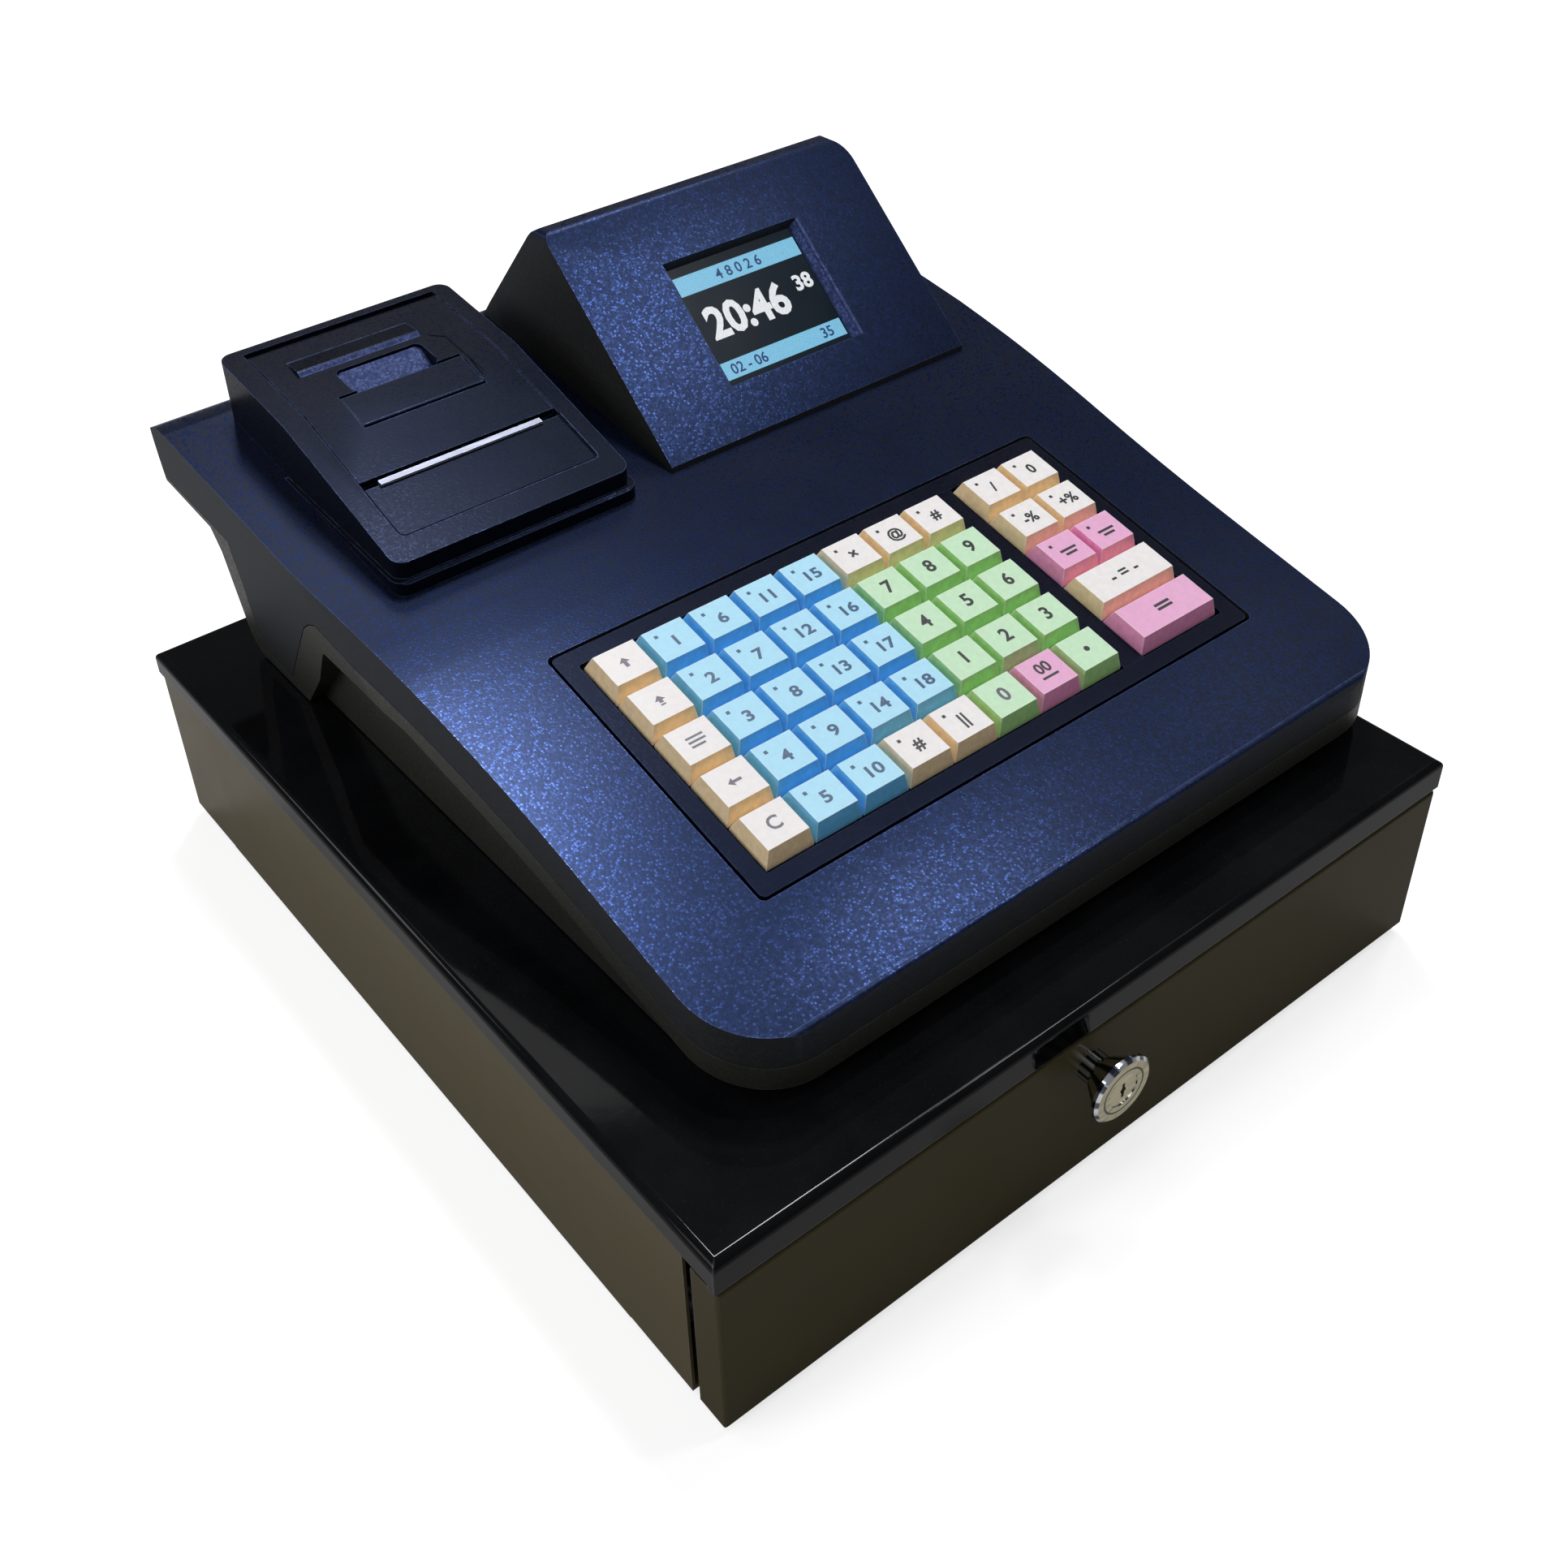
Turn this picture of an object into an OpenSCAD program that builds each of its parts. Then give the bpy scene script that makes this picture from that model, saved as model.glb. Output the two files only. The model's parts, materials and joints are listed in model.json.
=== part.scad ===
// Receipt-printing cash register: a key-operated register head with a thermal
// printer and a display hood, standing on a sheet steel cash drawer.
// Millimetres, +Z up, front towards -Y. The origin is the centre of the
// cabinet's underside; the rubber feet reach below it.

/* [Cash drawer cabinet] */
// Width of the cabinet
cabinet_w = 314; // [306:1:340]
// Depth of the cabinet, front panel included
cabinet_d = 352; // [344:1:380]
// Height of the cabinet without its feet
cabinet_h = 77; // [76:1:90]
// Thickness of the sheet steel
sheet_t = 1; // [0.8:0.1:1.2]
// Outer radius of the cover's bent edges
bend_r = 3; // [2:0.5:4]
// Height of the cover's lip above the front panel
lip_h = 12; // [10:0.5:13]
// Height of the cover's side flanges
flange_h = 9.5; // [8:0.5:11]
// Height of the rubber feet under the cabinet
foot_h = 3.5; // [2:0.5:6]
// Radius of the rubber feet under the cabinet
foot_r = 9; // [6:0.5:12]

/* [Sliding drawer] */
// Depth of the pan behind the front panel's face
panel_t = 12; // [10:0.5:13]
// Gap between the front panel and the lip above it
panel_gap = 1.5; // [1:0.1:2.5]
// Gap between the front panel's back and the cabinet's sides
side_gap = 3.5; // [3:0.5:5]
// Room behind the till box for the latch and the ejector spring
latch_room = 42; // [40:1:60]
// Height of the till box
till_h = 46; // [40:1:50]
// Radius of the runner rollers
roller_r = 6; // [5:0.5:7]
// Width of a runner roller
roller_w = 3; // [2.5:0.5:3.5]
// Radius of the rollers' axles
axle_r = 2.5; // [2:0.25:3]

/* [Cash tray] */
// Wall thickness of the plastic trays
tray_wall = 2.5; // [1.8:0.1:3]
// Number of banknote bays
bill_bays = 4; // [4:1:4]
// Number of coin cups
coin_cups = 5; // [4:1:6]
// Depth of the coin section, front to back
coin_d = 88; // [80:1:92]
// Reach of a banknote clip from its rod
clip_reach = 35; // [28:1:35]
// Radius of the rod that the clips turn on
clip_rod_r = 1.5; // [1.2:0.1:2]

/* [Lock] */
// Distance of the lock from the cabinet's centre line
lock_x = -13.5; // [-40:0.5:40]
// Height of the lock's axis above the cabinet's underside
lock_z = 49.5; // [45:0.5:50]
// How far the lock stands out of the front panel
lock_out = 13.5; // [10:0.5:16]
// Radius of the lock's flared head
lock_head_r = 12; // [11:0.5:13]
// Radius of the lock's neck at the front panel
barrel_r = 5.4; // [5:0.2:6.4]
// Radius of the turning plug behind its face
plug_r = 3.6; // [3:0.1:4]
// Reach of the cam from the lock's axis
cam_reach = 22; // [20:0.5:22]

/* [Register head] */
// Sideways offset of the head from the cabinet's centre line
head_x = 20; // [0:1:22]
// Distance from the cabinet's front face to the head's front face
head_setback = 27.5; // [24:0.5:40]
// Width of the head at its front edge
head_w = 289.4; // [280:1:300]
// How much the head widens on each side towards its back
head_flare = 9.8; // [6:0.2:11]
// Depth of the head
head_d = 344; // [340:1:350]
// Radius of the head's front corners
corner_r = 28; // [20:1:34]
// Height of the deck's front edge above the cabinet's top
deck_rise = 26.1; // [25:0.1:30]
// Slope of the deck at the keyboard, in degrees
deck_slope = 13.1; // [12:0.1:14]
// Slope of the deck at the back, in degrees
back_slope = 8; // [7:0.1:9]
// Height of the head's skirt below the deck's edge at the front
skirt_h = 21; // [19:0.5:23]
// Wall thickness of the moulded shells
shell_t = 2.5; // [2:0.1:3]
// Width of the seam lines between mouldings
seam = 0.4; // [0.3:0.05:0.6]

/* [Keyboard] */
// Distance between key centres
key_pitch = 19.05; // [18.5:0.05:19.2]
// Gap between neighbouring keys at their feet
key_gap = 0.8; // [0.6:0.1:1.2]
// Height of a key
key_h = 7; // [6:0.25:8]
// Slant of a key's side faces, measured across the key
key_taper = 1.3; // [0.8:0.1:1.8]
// Travel of a key
key_travel = 3; // [2:0.25:3]
// Radius of a key's stem
stem_r = 2.2; // [1.8:0.1:2.4]
// Width of the bezel strip around the keys
bezel_w = 6.5; // [5:0.25:7]
// Width of the groove between the bezel and the deck
groove_w = 1.2; // [0.8:0.1:1.6]
// Left edge of the first key column from the head's centre line
keys_left = -96.8; // [-100:0.2:-90]
// Distance from the head's front face to the first key row
keys_front = 48.2; // [44:0.2:52]

/* [Display hood] */
// Width of the display hood
hood_w = 143; // [136:1:146]
// Right side of the hood from the head's centre line
hood_right = 128; // [124:1:131]
// Distance from the foot of the hood's face to the head's back
hood_reach = 142.5; // [138:0.5:146]
// Slope of the hood's face, in degrees
hood_slope = 41.5; // [38:0.5:44]
// Length of the hood's face up its slope
hood_face = 97; // [90:1:100]
// Width of the display opening
window_w = 65; // [60:0.5:70]
// Height of the display opening, up the slope
window_h = 53; // [48:0.5:56]
// Distance from the foot of the face to the display opening
window_up = 19.5; // [16:0.5:24]
// Depth of the display below the hood's face
window_deep = 4.5; // [3.5:0.25:5.5]

/* [Receipt printer] */
// Width of the printer housing
printer_w = 97.5; // [94:0.5:100]
// Left side of the printer housing from the head's centre line
printer_left = -130; // [-132:0.5:-127]
// Distance from the printer housing's back to the head's back
printer_inset = 22.5; // [20:0.5:25]
// Depth of the printer housing
printer_d = 125; // [123:0.5:127]
// Width of the frame around the printer's hatch
rim_w = 10; // [8:0.5:12]
// Radius of a full paper roll
roll_r = 20; // [16:0.5:20]
// Width of the paper roll
roll_w = 57.5; // [50:0.5:58]
// Radius of the platen roller
platen_r = 4.8; // [4:0.1:4.8]
// Length of the tear bar
tear_w = 65; // [58:0.5:66]
// Tooth size of the printer's gears
gear_module = 0.9; // [0.8:0.05:0.9]

/* [Hidden] */

// Steps of round parts
$fn = 48;
// Small clearance between moving parts
play = 0.3;
// Running clearance of a shaft in its bore, on the radius
run = 0.05;

// --- Cabinet levels ---
cab_top = cabinet_h;
cab_front = -cabinet_d / 2;
cab_rear = cabinet_d / 2;
side_out = cabinet_w / 2 - sheet_t;
side_in = side_out - sheet_t;
rear_in = cab_rear - 2 * sheet_t;
floor_z = sheet_t;
panel_back = cab_front + panel_t;
panel_top = cab_top - lip_h - panel_gap;
panel_bottom = 0.5;
shell_front = panel_back + side_gap;
foot_x = side_out - 22;
foot_y0 = shell_front + 18;
foot_y1 = cab_rear - 22;
foot_in = foot_x - foot_r - 4;
foot_step = 0.4;

// --- Runners ---
rail_h = 2 * (roller_r + play);
rail_z = 22.5;
rail_web = 1;
rail_w = 8;
rail_in = side_in - rail_w;
front_roller_y = cab_front + 26;
rail_front = front_roller_y + roller_r + 4;
rail_rear = cab_rear - 11;
ledge_z = rail_z + roller_r + play;
till_half = rail_in - roller_w - 1;
ledge_x = rail_in - 0.3;
rear_roller_y = rail_rear - 15;
hub_r = axle_r + 1.5;

// --- Till box and trays ---
till_front = panel_back;
till_d = cabinet_d - panel_t - latch_room;
till_rear = till_front + till_d;
till_z = floor_z + 7.5;
till_top = till_z + till_h;
tray_half = till_half - sheet_t - 2;
tray_front = till_front + sheet_t + 15;
tray_rear = till_rear - sheet_t - 3;
tray_z = till_z + sheet_t;
tray_top = till_top - 2;
coin_y0 = tray_front + tray_wall;
coin_y1 = coin_y0 + coin_d;
bill_y0 = coin_y1 + tray_wall;
bill_y1 = tray_rear - tray_wall;
bay_w = (2 * tray_half - (bill_bays + 1) * tray_wall) / bill_bays;
clip_y = bill_y1 - 12;
clip_z = tray_z + tray_wall + 20.5;
clip_w = 24;

// --- Latch behind the till box ---
striker_x = 62;
striker_y = till_rear + 13;
hook_x = striker_x + 12;
hook_y = striker_y + 11;
hook_z = floor_z + 7.5;
hook_arm = 9;
hook_turn = 20;
plunger_y = hook_y + hook_arm;
plunger_travel = 2 * hook_arm * sin(hook_turn / 2);
coil_x1 = hook_x - 12;
coil_x0 = coil_x1 - 26;
eject_x = -60;
eject_z = floor_z + 25;

// --- Lock ---
lock_face = cab_front - lock_out;
plug_head_r = lock_head_r / 2;
cam_y = panel_back + sheet_t + 1.5;
cam_t = 2;
catch_t = 1;

// --- Head: its own frame has the front edge at Y = 0 and the cabinet's top at Z = 0 ---
head_y = cab_front + head_setback;
ease_y0 = keys_front + 5 * key_pitch + 5;
ease_len = 60;
ease_y1 = ease_y0 + ease_len;
ease_r = ease_len / (sin(deck_slope) - sin(back_slope));
ease_z0 = deck_rise + ease_y0 * tan(deck_slope);
ease_cy = ease_y0 + ease_r * sin(deck_slope);
ease_cz = ease_z0 - ease_r * cos(deck_slope);
ease_z1 = ease_cz + ease_r * cos(back_slope);
nose_r = 19;
base_gap = 1;
base_in = 6;
leg_rear = head_d - 44;
hood_front = head_d - hood_reach;
printer_front = head_d - printer_inset - printer_d;
leg_w = 36;
notch_y = leg_rear - 78;
under_z = 56;
under_slope = 0.105;
half_front = head_w / 2;
half_base = half_front + 0.6;
side_lean = 0.097;
flare_y0 = 80;
flare_y1 = head_d - 54;
behind_keys = ease_y0 + 5;

// Height of the deck's surface at a distance from the head's front edge
function deck_z(y) =
  y <= ease_y0 ? deck_rise + y * tan(deck_slope) :
  y <= ease_y1 ? ease_cz + sqrt(pow(ease_r, 2) - pow(y - ease_cy, 2)) :
  ease_z1 + (y - ease_y1) * tan(back_slope);

// Notch under the head, in front of the leg
notch_z = deck_z(notch_y) - 30.1;
under_mid = ease_y0 + 0.6186 * (notch_y - ease_y0);
under_low = ease_y0 + 0.265 * (notch_y - ease_y0);

// Points of the deck's surface between two distances, eased stretch in steps
function deck_pts(y0, y1) = concat(
  [[y0, deck_z(y0)]],
  [for (i = [0 : 8]) let (y = ease_y0 + i * ease_len / 8) if (y > y0 + 0.5 && y < y1 - 0.5) [y, deck_z(y)]],
  [[y1, deck_z(y1)]]
);

// Lower edge of the skirt
function skirt_z(y) = deck_z(y) - skirt_h - 0.019 * y;

// Seam between the upper and the lower shell, on the skirt
function seam_z(y) = deck_z(y) - 0.57 * skirt_h - 0.0257 * y;

// Points of an arc
function arc_pts(c, r, a0, a1, n) =
  [for (i = [0 : n]) let (a = a0 + (a1 - a0) * i / n) c + r * [cos(a), sin(a)]];

// Half width of the head's plan outline
function half_w(y) =
  half_front + head_flare * (1 - cos(180 * min(1, max(0, (y - flare_y0) / (flare_y1 - flare_y0))))) / 2;

// --- Main board and sockets in the base ---
main_w = 126;
main_d = 84;
main_x0 = -16;
main_y0 = leg_rear - 132;
main_z = base_gap + shell_t + 6;
main_posts = [for (x = [main_x0 + 6, main_x0 + 106], y = [main_y0 + 7, main_y0 + main_d - 7]) [x, y]];
socket_x0 = 35;
socket_x1 = 105;
socket_z0 = 16;
socket_z1 = 36;

// --- Keyboard frame: origin at the front left key's foot, tilted with the deck ---
keys_sunk = 2;
key_rows = 5;
keys_w = 10.5 * key_pitch;
keys_d = key_rows * key_pitch;
well_side = bezel_w + 1;
frame_h = 5.3;
plate_top = -key_travel - 0.5;
plate_t = 2;
board_top = plate_top - plate_t - 6.5;
board_t = 1.6;
stem_end = plate_top - plate_t - 1.7;
hub_clip_r = stem_r + 0.9;

// --- Hood frame: origin at the foot of the hood's face, on its centre line ---
hood_cx = hood_right - hood_w / 2;
hood_z = deck_z(hood_front) + 2;
hood_top_y = hood_front + hood_face * cos(hood_slope);
hood_top_z = hood_z + hood_face * sin(hood_slope);
hood_back = hood_top_y + 52.5;
window_end = window_up + window_h;

// --- Printer ---
pr_x0 = printer_left;
pr_x1 = printer_left + printer_w;
pr_y0 = printer_front;
pr_y1 = printer_front + printer_d;
pr_cx = (pr_x0 + pr_x1) / 2;
body_in = 1.5;
open_x0 = pr_x0 + rim_w;
open_x1 = pr_x1 - rim_w + 1.5;
open_y0 = pr_y0 + rim_w + 2;
open_y1 = pr_y1 - 5;
knee_y = pr_y0 + 74;
slot_y0 = open_y0 + 24;
slot_y1 = slot_y0 + 3;
pr_front_z = deck_z(pr_y0) + 11.5;
pr_knee_z = pr_front_z + 72 * tan(16.9);
platen_y = slot_y1 + 5;
platen_drop = 8.8;
platen_z = pr_top(platen_y) - platen_drop;
hatch_t = 2.5;
barrel_hinge_r = 3.2;
hinge_pin_r = 1.5;
hinge_y = open_y1 - barrel_hinge_r - 0.4;
hinge_z = pr_knee_z + (hinge_y - knee_y) * tan(back_slope) - barrel_hinge_r;
pocket_x0 = pr_cx - 17;
pocket_x1 = pr_cx + 18;
pocket_y0 = pr_y0 + 78;
pocket_y1 = pocket_y0 + 15;
pocket_deep = 8;
lever_x0 = pr_cx - 23;
lever_x1 = pr_cx + 26;
lever_y0 = pocket_y0 - 17;
lever_z = (lever_y0 < knee_y ? pr_front_z + (lever_y0 - pr_y0 - 2) * tan(16.9) :
  pr_knee_z + (lever_y0 - knee_y) * tan(back_slope)) - 2;
frame_x0 = pr_cx - 33.5;
frame_x1 = pr_cx + 33.5;
frame_t = 1.5;
roll_y = platen_y + 42;
roll_z = platen_z - 13.5;
base_z = platen_z - 41;
idler_teeth = 24;
platen_teeth = 12;
pinion_teeth = 10;
gear_w = 3;
idler_z = platen_z - gear_module * (idler_teeth + platen_teeth) / 2;
pinion_c = gear_module * (idler_teeth + pinion_teeth) / 2;
pinion_y = platen_y - pinion_c * sin(45);
pinion_z = idler_z - pinion_c * cos(45);

// Height of the printer housing's top
function pr_top(y) =
  y < knee_y ? pr_front_z + (y - pr_y0 - 2) * tan(16.9) : pr_knee_z + (y - knee_y) * tan(back_slope);

// --- Helpers ---

// Block between two opposite corners
module box(a, b) {
  translate(a)
    cube(b - a);
}

// Outline in Y and Z, drawn out along X
module along_x(x0, x1) {
  translate([x0, 0, 0])
    rotate([90, 0, 90])
      linear_extrude(x1 - x0)
        children();
}

// Outline in X and Z, drawn out along Y
module along_y(y0, y1) {
  translate([0, y1, 0])
    rotate([90, 0, 0])
      linear_extrude(y1 - y0)
        children();
}

// Outline in X and Y, drawn out along Z
module along_z(z0, z1) {
  translate([0, 0, z0])
    linear_extrude(z1 - z0)
      children();
}

// Round bar along X
module rod_x(x0, x1, y, z, r) {
  translate([x0, y, z])
    rotate([0, 90, 0])
      cylinder(h = x1 - x0, r = r);
}

// Round bar along Y
module rod_y(y0, y1, x, z, r) {
  translate([x, y1, z])
    rotate([90, 0, 0])
      cylinder(h = y1 - y0, r = r);
}

// Round bar along Z
module rod_z(z0, z1, x, y, r) {
  translate([x, y, z0])
    cylinder(h = z1 - z0, r = r);
}

// Rectangle with its two upper corners rounded
module round_top(a0, a1, b0, b1, r) {
  translate([a0, b0])
    square([a1 - a0, b1 - b0 - r]);
  translate([a0 + r, b0])
    square([a1 - a0 - 2 * r, b1 - b0]);
  translate([a0 + r, b1 - r])
    circle(r);
  translate([a1 - r, b1 - r])
    circle(r);
}

// Rectangle with all four corners rounded
module round_rect(a0, a1, b0, b1, r) {
  translate([a0, b0 + r])
    square([a1 - a0, b1 - b0 - 2 * r]);
  translate([a0 + r, b0])
    square([a1 - a0 - 2 * r, b1 - b0]);
  for (a = [a0 + r, a1 - r], b = [b0 + r, b1 - r])
    translate([a, b])
      circle(r);
}

// Children on both sides of the centre plane
module both_sides() {
  children();
  mirror([1, 0, 0])
    children();
}

// Children in the head's own frame
module in_head() {
  translate([head_x, head_y, cab_top])
    children();
}

// Children in the tilted frame of the keyboard
module on_keys() {
  in_head()
    translate([keys_left, keys_front, deck_z(keys_front) - keys_sunk])
      rotate([deck_slope, 0, 0])
        children();
}

// Children in the tilted frame of the hood's face
module on_hood() {
  in_head()
    translate([hood_cx, hood_front, hood_z])
      rotate([hood_slope, 0, 0])
        children();
}

// --- Cabinet ---

// Folded steel cover: top, front lip, side and rear flanges, with the lock's catch under its front
module drawer_cover() {
  color("#17171b") {
    difference() {
      intersection() {
        along_y(cab_front, cab_rear)
          round_top(-cabinet_w / 2, cabinet_w / 2, cab_top - lip_h, cab_top, bend_r);
        along_x(-cabinet_w / 2, cabinet_w / 2)
          round_top(cab_front, cab_rear, cab_top - lip_h, cab_top, bend_r);
      }
      intersection() {
        along_y(cab_front, cab_rear)
          round_top(-side_out, side_out, 0, cab_top - sheet_t, bend_r - sheet_t);
        along_x(-cabinet_w / 2, cabinet_w / 2)
          round_top(cab_front + sheet_t, cab_rear - sheet_t, 0, cab_top - sheet_t, bend_r - sheet_t);
      }
      box([-cabinet_w, cab_front + bend_r, cab_top - lip_h - 1],
        [cabinet_w, cab_rear + 1, cab_top - flange_h]);
    }
    // rolled edge along the bottom of the front lip
    rod_x(-side_out, side_out, cab_front + 1.2, cab_top - lip_h + 1.2, 1.2);
    // catch that the lock's cam turns up behind
    box([lock_x - 10, panel_back, cab_top - lip_h + 0.5],
      [lock_x + 10, panel_back + catch_t, cab_top - sheet_t]);
    box([lock_x - 10, panel_back, cab_top - 2 * sheet_t], [lock_x + 10, panel_back + 9, cab_top - sheet_t]);
  }
}

// Corner blocks above the feet, wider than the feet's recesses by i
module foot_corners(i, z0, z1) {
  for (s = [-1, 1]) {
    box([min(s * foot_in, s * cabinet_w) - i, -cabinet_d, z0],
      [max(s * foot_in, s * cabinet_w) + i, foot_y0 + foot_r + 4 + i, z1]);
    box([min(s * foot_in, s * cabinet_w) - i, foot_y1 - foot_r - 4 - i, z0],
      [max(s * foot_in, s * cabinet_w) + i, cabinet_d, z1]);
  }
}

// Cabinet bottom, sides and back, folded from one sheet
module drawer_shell() {
  color("#6f6a5f") {
    difference() {
      box([-side_out, shell_front, 0], [side_out, cab_rear - sheet_t, cab_top - bend_r - 0.1]);
      difference() {
        box([-side_in, shell_front - 1, floor_z], [side_in, rear_in, cab_top]);
        // floor raised over the feet
        foot_corners(1, floor_z - 1, floor_z + foot_step);
      }
      foot_corners(0, -1, foot_step);
      // cable hole in the back
      rod_y(rear_in - 1, cab_rear + 1, 105, floor_z + 40, 6);
      // vent slots in the back
      for (i = [-3 : 3])
        along_y(rear_in - 1, cab_rear + 1)
          translate([-20 + 9 * i, floor_z + 50])
            round_rect(-1.5, 1.5, -8, 8, 1.49);
    }
    // hem along the front of the bottom
    box([-side_in, shell_front, floor_z], [side_in, shell_front + 8, floor_z + sheet_t]);
  }
}

// Channel rail of the cabinet with the stub axle of its front roller, right hand side
module runner_rail() {
  difference() {
    box([rail_in, rail_front, rail_z - rail_h / 2 - rail_web],
      [side_in, rail_rear, rail_z + rail_h / 2 + rail_web]);
    box([rail_in - 1, rail_front - 1, rail_z - rail_h / 2],
      [side_in - rail_web, rail_rear + 1, rail_z + rail_h / 2]);
    for (y = [rail_front + 14, rail_rear - 20])
      rod_x(side_in - 2 * rail_web, side_in + 1, y, rail_z, 2.2);
  }
  // bracket, shoulder and axle of the front roller
  box([side_in - rail_web, front_roller_y - 8, rail_z - 7], [side_in, rail_front, rail_z + 7]);
  rod_x(till_half + roller_w + 1.2, side_in, front_roller_y, rail_z, hub_r);
  rod_x(till_half + 0.7, side_in, front_roller_y, rail_z, axle_r);
}

module runner_rails() {
  color("#b9bcbf")
    both_sides()
      runner_rail();
}

// Four rubber feet
module drawer_feet() {
  color("#1b1b1b")
    for (x = [-foot_x, foot_x], y = [foot_y0, foot_y1])
      difference() {
        union() {
          translate([x, y, -foot_h])
            cylinder(h = foot_h, r1 = foot_r - 1, r2 = foot_r);
          rod_z(0, foot_step, x, y, foot_r);
        }
        rod_z(-foot_h - 1, -foot_h / 2, x, y, 3);
      }
}

// Wheel with a bore, on the right hand side
module roller(x0, y) {
  difference() {
    rod_x(x0, x0 + roller_w, y, rail_z, roller_r);
    rod_x(x0 - 1, x0 + roller_w + 1, y, rail_z, axle_r + run);
    for (a = [0 : 60 : 300])
      translate([0, y, rail_z])
        rotate([a, 0, 0])
          rod_x(x0 + roller_w - 0.8, x0 + roller_w + 1, (roller_r + axle_r) / 2 + 0.1, 0, 0.7);
  }
}

module front_rollers() {
  color("#e7e5de")
    both_sides()
      roller(till_half + 0.8, front_roller_y);
}

module rear_rollers() {
  color("#e7e5de")
    both_sides()
      roller(ledge_x + 1, rear_roller_y);
}

// --- Latch ---

// Release solenoid with its bracket and the hook's pivot post
module latch_solenoid() {
  color("#8d9093") {
    difference() {
      box([coil_x0, plunger_y - 9, floor_z], [coil_x1, rear_in, floor_z + 20]);
      // coil window on both sides of the yoke
      box([coil_x0 + 2, plunger_y - 10, floor_z + 3], [coil_x1 - 2, plunger_y - 7, floor_z + 17]);
      rod_x(coil_x0 + 6, coil_x1 + 1, plunger_y, hook_z + 1.5, 3.5 + run);
      for (x = [coil_x0 + 4, coil_x1 - 4])
        rod_z(floor_z + 18, floor_z + 21, x, plunger_y, 1.2);
    }
    box([coil_x1, hook_y - 6, floor_z], [hook_x + 7, hook_y + 6, floor_z + 1.5]);
    rod_z(floor_z, hook_z - play, hook_x, hook_y, 4);
    rod_z(floor_z, hook_z + 5, hook_x, hook_y, 2.5);
  }
}

// Plunger with the fork and pin that move the hook, drawn pulled in
module latch_plunger() {
  pin_x = hook_x - plunger_travel / 2;
  color("#c9ccd0") {
    difference() {
      rod_x(coil_x0 + 8, pin_x + 2.6, plunger_y, hook_z + 1.5, 3.5);
      box([pin_x - 4.7, plunger_y - 5, hook_z - play], [pin_x + 4, plunger_y + 5, hook_z + 3 + play]);
    }
    rod_z(hook_z - 1.5, hook_z + 4.5, pin_x, plunger_y, 1);
  }
}

// Hook lever, drawn released
module latch_hook() {
  color("#a4a7aa")
    translate([hook_x, hook_y, hook_z])
      rotate([0, 0, hook_turn])
        difference() {
          union() {
            cylinder(h = 3, r = 5);
            translate([-2.5, -17.5, 0])
              cube([6, 17.5, 3]);
            translate([-13.5, -17.5, 0])
              cube([13.5, 4, 3]);
            rotate([0, 0, -hook_turn / 2])
              translate([-3, 0, 0])
                cube([6, hook_arm + 3.4, 3]);
          }
          translate([0, 0, -1])
            cylinder(h = 5, r = 2.5 + run);
          rotate([0, 0, -hook_turn / 2])
            translate([0, hook_arm, -1])
              linear_extrude(5)
                round_rect(-1.25, 1.25, -1.9, 1.9, 1.24);
        }
}

// Spring on its guide rod that pushes the drawer open
module ejector_spring() {
  color("#d5d8db") {
    rod_y(till_rear + 4, rear_in, eject_x, eject_z, 3);
    rod_y(till_rear + 2, till_rear + 4, eject_x, eject_z, 7);
    rod_y(rear_in - 2, rear_in, eject_x, eject_z, 8);
    for (i = [0 : 8])
      translate([eject_x, till_rear + 6 + i * 3.4, eject_z])
        rotate([90, 0, 0])
          rotate_extrude()
            translate([3.6, 0])
              circle(0.7);
  }
}

// --- Drawer ---

// Front panel: a shallow pan with bent edges and the lock's hole
module drawer_front() {
  color("#6f6a5f")
    difference() {
      intersection() {
        along_x(-side_out, side_out)
          union() {
            translate([cab_front + 1.2, panel_bottom])
              square([panel_t - 1.2, panel_top - panel_bottom]);
            translate([cab_front, panel_bottom + 1.2])
              square([panel_t, panel_top - panel_bottom - 2.4]);
            for (z = [panel_bottom + 1.2, panel_top - 1.2])
              translate([cab_front + 1.2, z])
                circle(1.2);
          }
        along_z(panel_bottom, panel_top)
          union() {
            translate([-side_out, cab_front + 1.2])
              square([2 * side_out, panel_t - 1.2]);
            translate([-side_out + 1.2, cab_front])
              square([2 * side_out - 2.4, panel_t]);
            for (x = [-side_out + 1.2, side_out - 1.2])
              translate([x, cab_front + 1.2])
                circle(1.2);
          }
      }
      box([-side_out + sheet_t, cab_front + sheet_t, panel_bottom + sheet_t],
        [side_out - sheet_t, panel_back - sheet_t, panel_top - sheet_t]);
      // return flanges leave the pan's back open
      box([-side_out + 10, panel_back - 2 * sheet_t, panel_bottom + 9],
        [side_out - 10, panel_back + 1, panel_top - 10]);
      rod_y(cab_front - 1, panel_back + 1, lock_x, lock_z, barrel_r + run);
    }
}

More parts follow.
